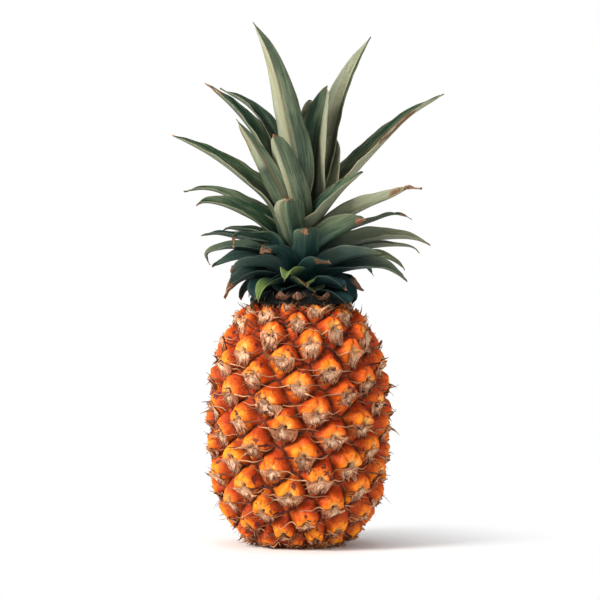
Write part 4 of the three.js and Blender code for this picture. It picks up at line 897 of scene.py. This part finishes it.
# ---------------------------------------------------------------- materials
def skin_material():
    M = Mat("fruit_skin")
    dome, lobe, bowl, cleft = M.attr("eye")
    rnd, under, high, across = M.attr("eye2")
    crev, patch, pit, rnd2 = M.attr("eye3")
    n_big, n_mid, n_small = M.noise(75, 3), M.noise(300, 4, 0.6), M.noise(1150, 3, 0.6)
    # ripeness: yellower low down; painted light: yellower to the left of the fruit and on the left of each eye
    ripe_and_painted_light = M.math("ADD", M.math("MULTIPLY", M.math("SUBTRACT", 1.0, high), 0.40), M.math("MULTIPLY", rnd, 0.35))
    ripe_and_painted_light = M.math("ADD", ripe_and_painted_light, M.math("MULTIPLY", M.math("SUBTRACT", n_big, 0.5), 1.1))
    # painted light: yellower on the left of each eye
    ripe_and_painted_light = M.math("ADD", ripe_and_painted_light, M.math("MULTIPLY", M.math("SUBTRACT", 0.55, across), 0.35))
    # painted light: yellower to the left of the fruit
    place = M.node("ShaderNodeSeparateXYZ")
    M.link(M.coord(), place.inputs[0])
    ripe_and_painted_light = M.math("SUBTRACT", ripe_and_painted_light, M.math("MULTIPLY", place.outputs[0], 3.0))
    warm = M.math("ADD", patch, M.math("MULTIPLY", M.math("SUBTRACT", n_mid, 0.5), 0.55))
    body = M.mix(M.step(ripe_and_painted_light, 0.10, 0.85), (0.80, 0.150, 0.009), (0.96, 0.360, 0.012))
    # cream round the pit, then orange, then a red rim
    c = M.mix(M.step(warm, 0.50, 0.20), body, (0.92, 0.50, 0.13))
    c = M.mix(M.math("MULTIPLY", M.step(bowl, 0.25, 0.9), 0.6), c, (0.86, 0.60, 0.30))
    c = M.mix(M.math("MULTIPLY", M.step(warm, 0.52, 0.86), M.math("SUBTRACT", 1.0, M.math("MULTIPLY", M.step(ripe_and_painted_light, 0.5, 1.0), 0.75))), c, (0.46, 0.055, 0.008))
    hot = M.math("MULTIPLY", M.step(M.noise(150, 2, 0.5), 0.56, 0.66), M.step(dome, 0.3, 0.7))
    c = M.mix(M.math("MULTIPLY", hot, 0.45), c, (0.66, 0.045, 0.008))
    # maroon and purple in the crevices, partly the skin's own colour and partly painted shade
    crevice_maroon_and_shade = M.math("MULTIPLY", M.step(M.math("ADD", crev, M.math("MULTIPLY", M.math("SUBTRACT", n_mid, 0.5), 0.6)), 0.16, 0.58), 0.82)
    c = M.mix(crevice_maroon_and_shade, c, (0.24, 0.036, 0.008))
    # painted shade: near black deepest in the crevices
    deep_painted_shade = M.math("MULTIPLY", M.step(M.math("ADD", crev, M.math("MULTIPLY", M.math("SUBTRACT", n_big, 0.5), 0.9)), 0.42, 0.85), 0.92)
    c = M.mix(deep_painted_shade, c, (0.060, 0.009, 0.007))
    # painted shade: darker red in the cleft between the lobes
    c = M.mix(M.math("MULTIPLY", M.step(cleft, 0.35, 0.9), 0.7), c, (0.32, 0.050, 0.010))
    bruise = M.math("MULTIPLY", M.step(M.math("ADD", M.noise(135, 2, 0.5), M.math("MULTIPLY", across, 0.10)), 0.665, 0.71), M.step(dome, 0.2, 0.6))
    c = M.mix(M.math("MULTIPLY", bruise, 0.85), c, (0.075, 0.010, 0.028))
    c = M.mix(M.step(pit, 0.45, 0.8), c, (0.030, 0.012, 0.008))
    # fine mottling
    c = M.mix(M.math("MULTIPLY", M.step(n_small, 0.5, 0.75), 0.28), c, (0.97, 0.50, 0.06))
    c = M.mix(M.math("MULTIPLY", M.step(n_small, 0.5, 0.28), 0.30), c, (0.42, 0.05, 0.005))
    # brown foot
    c = M.mix(M.math("MULTIPLY", M.step(high, 0.035, 0.0), 0.85), c, (0.10, 0.035, 0.012))
    rough = M.math("ADD", 0.36, M.math("MULTIPLY", n_small, 0.30))
    rough = M.math("ADD", rough, M.math("MULTIPLY", crev, 0.2))
    n = M.bump(n_small, 0.0005, 0.7)
    n = M.bump(n_mid, 0.0012, 0.55, n)
    return M.done(c, rough, n, Specular_IOR_Level=0.32)


def bract_material():
    M = Mat("fruit_bract")
    b, a, rnd, side = M.attr("br")
    col, high, rnd2, rnd3 = M.attr("br2")
    comb = M.node("ShaderNodeCombineXYZ")
    M.put(comb.inputs[0], M.math("MULTIPLY", a, 30.0))
    M.put(comb.inputs[1], M.math("MULTIPLY", b, 2.2))
    M.put(comb.inputs[2], M.math("MULTIPLY", rnd, 40.0))
    fibre = M.noise(1.0, 3, 0.6, comb.outputs[0])
    patch = M.noise(260, 3, 0.6)
    c = M.mix(M.step(fibre, 0.40, 0.60), (0.36, 0.135, 0.060), (0.93, 0.66, 0.46))
    c = M.mix(M.math("MULTIPLY", M.step(patch, 0.45, 0.66), 0.6), c, (0.82, 0.33, 0.09))
    c = M.mix(M.math("MULTIPLY", rnd2, 0.30), c, (0.72, 0.44, 0.28))
    c = M.mix(M.math("MULTIPLY", M.step(M.math("ADD", rnd, M.math("MULTIPLY", patch, 0.4)), 0.80, 1.15), 0.6), c, (0.30, 0.125, 0.055))
    # cream at the heart and the tip, browner and purple towards the ragged lower edge
    heart = M.math("MULTIPLY", M.step(M.math("ABSOLUTE", M.math("SUBTRACT", a, 0.5)), 0.26, 0.06), M.step(b, 0.16, 0.42))
    c = M.mix(M.math("MULTIPLY", M.math("MULTIPLY", heart, M.step(fibre, 0.30, 0.50)), 0.65), c, (0.88, 0.66, 0.46))
    low = M.step(M.math("ADD", b, M.math("MULTIPLY", M.math("SUBTRACT", fibre, 0.5), 0.9)), 0.42, 0.08)
    c = M.mix(M.math("MULTIPLY", low, 0.45), c, (0.24, 0.060, 0.028))
    edge = M.step(M.math("ABSOLUTE", M.math("SUBTRACT", a, 0.5)), 0.30, 0.5)
    c = M.mix(M.math("MULTIPLY", edge, 0.45), c, (0.52, 0.170, 0.045))
    c = M.mix(M.math("MULTIPLY", M.step(M.noise(520, 2), 0.60, 0.68), 0.6), c, (0.10, 0.03, 0.028))
    n = M.bump(fibre, 0.0008, 0.9)
    n = M.bump(M.noise(1500, 2), 0.0003, 0.5, n)
    return M.done(c, M.math("ADD", 0.62, M.math("MULTIPLY", patch, 0.25)), n)


def fibre_material():
    M = Mat("fruit_fibre")
    t, rnd, kind, _ = M.attr("hr")
    c = M.ramp(rnd, (0.0, (0.16, 0.055, 0.022)), (0.3, (0.44, 0.20, 0.08)), (0.55, (0.66, 0.42, 0.24)), (0.78, (0.38, 0.15, 0.06)), (0.9, (0.045, 0.014, 0.022)))
    tip = M.math("MULTIPLY", M.step(t, 0.55, 1.0), M.step(kind, 0.55, 0.9))
    c = M.mix(M.math("MULTIPLY", tip, M.step(rnd, 0.35, 0.7)), c, (0.07, 0.03, 0.035))
    c = M.mix(M.math("MULTIPLY", M.step(M.noise(700, 2), 0.5, 0.7), 0.4), c, (0.30, 0.12, 0.06))
    return M.done(c, 0.7, M.bump(M.noise(2400, 2), 0.0002, 0.5))


def leaf_material():
    M = Mat("leaf")
    t, s, rnd, side = M.attr("lf")
    dry, dark, edge, rnd2 = M.attr("lf2")
    painted_light_half, fresh, crease, _ = M.attr("lf3")
    pos = M.node("ShaderNodeAttribute", attribute_name="lpos", attribute_type="GEOMETRY").outputs["Vector"]

    def scaled(x, y, z=1.0):
        n = M.node("ShaderNodeVectorMath", operation="MULTIPLY")
        M.link(pos, n.inputs[0])
        n.inputs[1].default_value = (x, y, z)
        return n.outputs[0]

    streak = M.noise(1.0, 4, 0.62, scaled(1.5, 0.035))
    vein = M.noise(1.0, 2, 0.5, scaled(3.6, 0.012))
    cloud = M.noise(1.0, 4, 0.6, scaled(0.20, 0.022))
    band = M.noise(1.0, 2, 0.5, scaled(0.03, 0.16))
    speck = M.noise(1.0, 3, 0.6, scaled(2.2, 0.8))
    # green under a pale bloom, with painted shade, near black teal, deep in the crown, and painted light, greyer, where
    # it is open to the air
    painted_light_amount = rnd2
    g = M.mix(M.step(cloud, 0.34, 0.66), (0.011, 0.042, 0.026), (0.046, 0.095, 0.032))
    g = M.mix(M.math("MULTIPLY", rnd, 0.40), g, (0.022, 0.060, 0.042))
    g = M.mix(M.math("MULTIPLY", M.step(streak, 0.45, 0.72), 0.40), g, (0.100, 0.135, 0.065))
    g = M.mix(M.step(M.math("ADD", painted_light_amount, M.math("MULTIPLY", M.math("SUBTRACT", cloud, 0.5), 0.5)), 0.62, 0.0), g, (0.0045, 0.0330, 0.0350))
    bloom = M.math("ADD", M.math("MULTIPLY", M.math("SUBTRACT", 1.0, side), 0.26), M.math("MULTIPLY", M.step(cloud, 0.40, 0.72), 0.55))
    bloom = M.math("ADD", bloom, M.math("MULTIPLY", M.math("SUBTRACT", streak, 0.5), 1.0))
    bloom = M.math("ADD", bloom, M.math("MULTIPLY", M.math("SUBTRACT", band, 0.5), 0.18))
    # painted shade: less bloom where the painted light is low
    bloom = M.math("MULTIPLY", bloom, M.math("ADD", 0.10, M.math("MULTIPLY", painted_light_amount, 0.82)), clamp=True)
    # painted shade: the bloom turns teal where the painted light is low
    c = M.mix(bloom, g, M.mix(M.step(painted_light_amount, 0.62, 0.15), M.mix(M.step(speck, 0.4, 0.7), (0.270, 0.320, 0.225), (0.260, 0.240, 0.170)), (0.165, 0.320, 0.310)))
    c = M.mix(M.math("MULTIPLY", fresh, 0.75), c, M.mix(streak, (0.10, 0.19, 0.035), (0.26, 0.34, 0.09)))
    # painted light: the paler half of the leaf, then a brown line along its edge
    lit = M.math("MULTIPLY", M.math("MULTIPLY", painted_light_half, M.math("ADD", 0.45, M.math("MULTIPLY", streak, 0.8))), M.math("ADD", 0.10, painted_light_amount), clamp=True)
    c = M.mix(lit, c, M.mix(M.step(cloud, 0.42, 0.70), (0.470, 0.490, 0.350), (0.400, 0.360, 0.235)))
    c = M.mix(M.math("MULTIPLY", M.math("MULTIPLY", crease, M.math("ADD", 0.1, painted_light_amount)), M.step(speck, 0.35, 0.6)), c, (0.20, 0.120, 0.060))
    # thin pale margin, in places only
    c = M.mix(M.math("MULTIPLY", M.math("MULTIPLY", edge, M.math("ADD", 0.12, M.math("MULTIPLY", painted_light_amount, 0.40))), M.step(speck, 0.42, 0.60)), c, (0.42, 0.31, 0.21))
    rust = M.math("MULTIPLY", M.step(speck, 0.63, 0.72), M.math("ADD", 0.10, M.math("MULTIPLY", M.step(cloud, 0.55, 0.7), 0.5)))
    c = M.mix(M.math("MULTIPLY", rust, M.math("ADD", 0.25, painted_light_amount)), c, (0.20, 0.095, 0.045))
    # dried ends
    d = M.mix(M.step(streak, 0.38, 0.62), (0.17, 0.075, 0.035), (0.55, 0.36, 0.23))
    d = M.mix(M.math("MULTIPLY", M.step(speck, 0.5, 0.65), 0.7), d, (0.075, 0.032, 0.020))
    d = M.mix(M.math("MULTIPLY", M.step(rnd, 0.35, 0.8), 0.55), d, (0.085, 0.045, 0.030))
    wet = M.step(M.math("ADD", dry, M.math("MULTIPLY", M.math("SUBTRACT", speck, 0.5), 0.5)), 0.35, 0.6)
    c = M.mix(wet, c, d)
    halo = M.math("MULTIPLY", M.step(M.math("ADD", dry, M.math("MULTIPLY", M.math("SUBTRACT", streak, 0.5), 0.6)), 0.12, 0.38), M.math("SUBTRACT", 1.0, wet))
    c = M.mix(M.math("MULTIPLY", halo, 0.7), c, (0.22, 0.12, 0.05))
    c = M.mix(M.math("MULTIPLY", M.step(dark, 0.45, 0.8), 0.85), c, (0.028, 0.018, 0.016))
    rough = M.math("ADD", 0.40, M.math("MULTIPLY", bloom, 0.25))
    rough = M.math("ADD", rough, M.math("MULTIPLY", wet, 0.2))
    n = M.bump(vein, 0.0007, 0.8)
    n = M.bump(streak, 0.0010, 0.35, n)
    n = M.bump(speck, 0.0003, 0.4, n)
    return M.done(c, rough, n, Specular_IOR_Level=0.22)


def dry_material():
    M = Mat("dry_bract")
    pos = M.node("ShaderNodeAttribute", attribute_name="lpos", attribute_type="GEOMETRY").outputs["Vector"]
    n1 = M.node("ShaderNodeVectorMath", operation="MULTIPLY")
    M.link(pos, n1.inputs[0])
    n1.inputs[1].default_value = (2.4, 0.10, 1.0)
    fibre = M.noise(1.0, 4, 0.65, n1.outputs[0])
    patch = M.noise(180, 3)
    c = M.mix(M.step(fibre, 0.38, 0.64), (0.055, 0.024, 0.015), (0.34, 0.19, 0.11))
    c = M.mix(M.math("MULTIPLY", M.step(patch, 0.48, 0.66), 0.7), c, (0.075, 0.030, 0.020))
    return M.done(c, M.math("ADD", 0.7, M.math("MULTIPLY", fibre, 0.2)), M.bump(fibre, 0.0010, 0.9))


def stalk_material():
    M = Mat("cut_stalk")
    fibre = M.node("ShaderNodeTexVoronoi", feature="F1")
    M.link(M.coord(), fibre.inputs["Vector"])
    fibre.inputs["Scale"].default_value = 900
    wood = M.noise(140, 4, 0.6)
    c = M.mix(M.step(fibre.outputs["Distance"], 0.15, 0.5), (0.62, 0.42, 0.22), (0.34, 0.19, 0.085))
    c = M.mix(M.math("MULTIPLY", M.step(wood, 0.45, 0.7), 0.6), c, (0.16, 0.075, 0.030))
    return M.done(c, 0.85, M.bump(fibre.outputs["Distance"], 0.0006, 0.8))


def stem_material():
    M = Mat("crown_stem")
    n1, n2 = M.noise(120, 4, 0.6), M.noise(700, 3)
    c = M.mix(M.step(n1, 0.35, 0.65), (0.05, 0.075, 0.025), (0.20, 0.20, 0.085))
    c = M.mix(M.math("MULTIPLY", M.step(n2, 0.5, 0.7), 0.5), c, (0.16, 0.085, 0.035))
    return M.done(c, 0.75, M.bump(n2, 0.0006, 0.8))


def sheath_painted_shade_material():
    M = Mat("crown_sheath_painted_shade")
    pos = M.node("ShaderNodeAttribute", attribute_name="lpos", attribute_type="GEOMETRY").outputs["Vector"]
    n1 = M.node("ShaderNodeVectorMath", operation="MULTIPLY")
    M.link(pos, n1.inputs[0])
    n1.inputs[1].default_value = (1.6, 0.12, 1.0)
    fibre = M.noise(1.0, 4, 0.65, n1.outputs[0])
    patch = M.noise(110, 3)
    # painted shade: near black teal, with dark brown patches
    c = M.mix(M.step(fibre, 0.38, 0.66), (0.003, 0.007, 0.007), (0.016, 0.024, 0.018))
    c = M.mix(M.math("MULTIPLY", M.step(patch, 0.52, 0.66), 0.7), c, (0.040, 0.016, 0.012))
    return M.done(c, 0.7, M.bump(fibre, 0.0010, 0.9))


mats = dict(sheath=sheath_painted_shade_material(), skin=skin_material(), bract=bract_material(), fibre=fibre_material(), leaf=leaf_material(),
            dry=dry_material(), stalk=stalk_material(), stem=stem_material())


def wear(ob, mat):
    ob.data.materials.clear()
    ob.data.materials.append(mat)


for ob, mat, node, slot in ((skin, "skin", "fruit", "fruit_skin"), (bracts, "bract", "fruit", "fruit_skin"), (shreds, "bract", "fruit", "fruit_skin"), (fibres, "fibre", "fruit", "fruit_skin"), (flakes, "fibre", "fruit", "fruit_skin")):
    wear(ob, mats[mat])
    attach(ob, "root")
    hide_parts(node)
wear(sheath, mats["sheath"])
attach(sheath, "root")
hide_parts("leaf_collar")
for name, ob in leaves.items():
    collar = name.startswith("collar_bract")
    wear(ob, mats["dry" if collar else "leaf"])
    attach(ob, "root")
    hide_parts("leaf_collar" if name.startswith("leaf_collar") else name)
for node, mat in (("cut_stalk", "stalk"), ("crown_stem", "stem")):
    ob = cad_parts[node]
    for k in range(max(1, len(ob.material_slots))):
        if not ob.material_slots:
            ob.data.materials.append(mats[mat])
        else:
            ob.material_slots[k].material = mats[mat]


# ---------------------------------------------------------------- floor, light
def floor_material():
    """pale paper that fades into the white surround away from the fruit"""
    M = Mat("floor")
    grain = M.mix(M.noise(6, 2), (0.93, 0.93, 0.93), (0.96, 0.96, 0.96))
    M.done(grain, 0.9)
    nt = M.t
    glow = M.node("ShaderNodeEmission")
    glow.inputs[0].default_value = (1, 1, 1, 1)
    glow.inputs[1].default_value = 1.0
    dist = M.node("ShaderNodeVectorMath", operation="LENGTH")
    M.link(M.coord(), dist.inputs[0])
    seen = M.math("MULTIPLY", M.step(dist.outputs["Value"], 0.02, 0.20), M.node("ShaderNodeLightPath").outputs["Is Camera Ray"])
    mixer = M.node("ShaderNodeMixShader")
    M.link(seen, mixer.inputs[0])
    M.link(M.b.outputs[0], mixer.inputs[1])
    M.link(glow.outputs[0], mixer.inputs[2])
    M.link(mixer.outputs[0], nt.nodes["Material Output"].inputs[0])
    return M.m


n = 96
ang = np.arange(n) * 2 * math.pi / n
floor = new_mesh("floor", np.stack([9000 * np.cos(ang), 9000 * np.sin(ang), 0 * ang - 0.02], -1).tolist() + [[0, 0, -0.02]], None,
                 tris=np.stack([np.full(n, n), np.arange(n), (np.arange(n) + 1) % n], -1))
wear(floor, floor_material())

world = bpy.data.worlds.new("studio")
SC.world = world
world.use_nodes = True
nt = world.node_tree
bg = nt.nodes["Background"]
bg.inputs[0].default_value = (1, 1, 1, 1)
bg.inputs[1].default_value = 0.40
seen = nt.nodes.new("ShaderNodeBackground")
seen.inputs[0].default_value = (1, 1, 1, 1)
seen.inputs[1].default_value = 1.0
lp = nt.nodes.new("ShaderNodeLightPath")
mx = nt.nodes.new("ShaderNodeMixShader")
nt.links.new(lp.outputs["Is Camera Ray"], mx.inputs[0])
nt.links.new(bg.outputs[0], mx.inputs[1])
nt.links.new(seen.outputs[0], mx.inputs[2])
nt.links.new(mx.outputs[0], nt.nodes["World Output"].inputs[0])


def area(name, loc, target, size, power, color=(1, 1, 1)):
    d = bpy.data.lights.new(name, "AREA")
    d.shape, d.size, d.energy, d.color = "DISK", size, power, color
    o = bpy.data.objects.new(name, d)
    o.location = loc
    v = np.array(target) - np.array(loc)
    from mathutils import Vector
    o.rotation_euler = Vector(v).to_track_quat("-Z", "Y").to_euler()
    SC.collection.objects.link(o)


area("key", (-1.35, -0.92, 1.10), (0, 0, 0.17), 0.75, 44, (1.0, 0.985, 0.96))
area("fill", (1.15, -1.55, 0.65), (0, 0, 0.18), 1.0, 13, (0.97, 0.985, 1.0))
area("top", (0.0, 0.3, 1.9), (0, 0, 0.1), 1.2, 7)
SC.view_settings.view_transform = "Standard"
SC.view_settings.gamma = 0.84
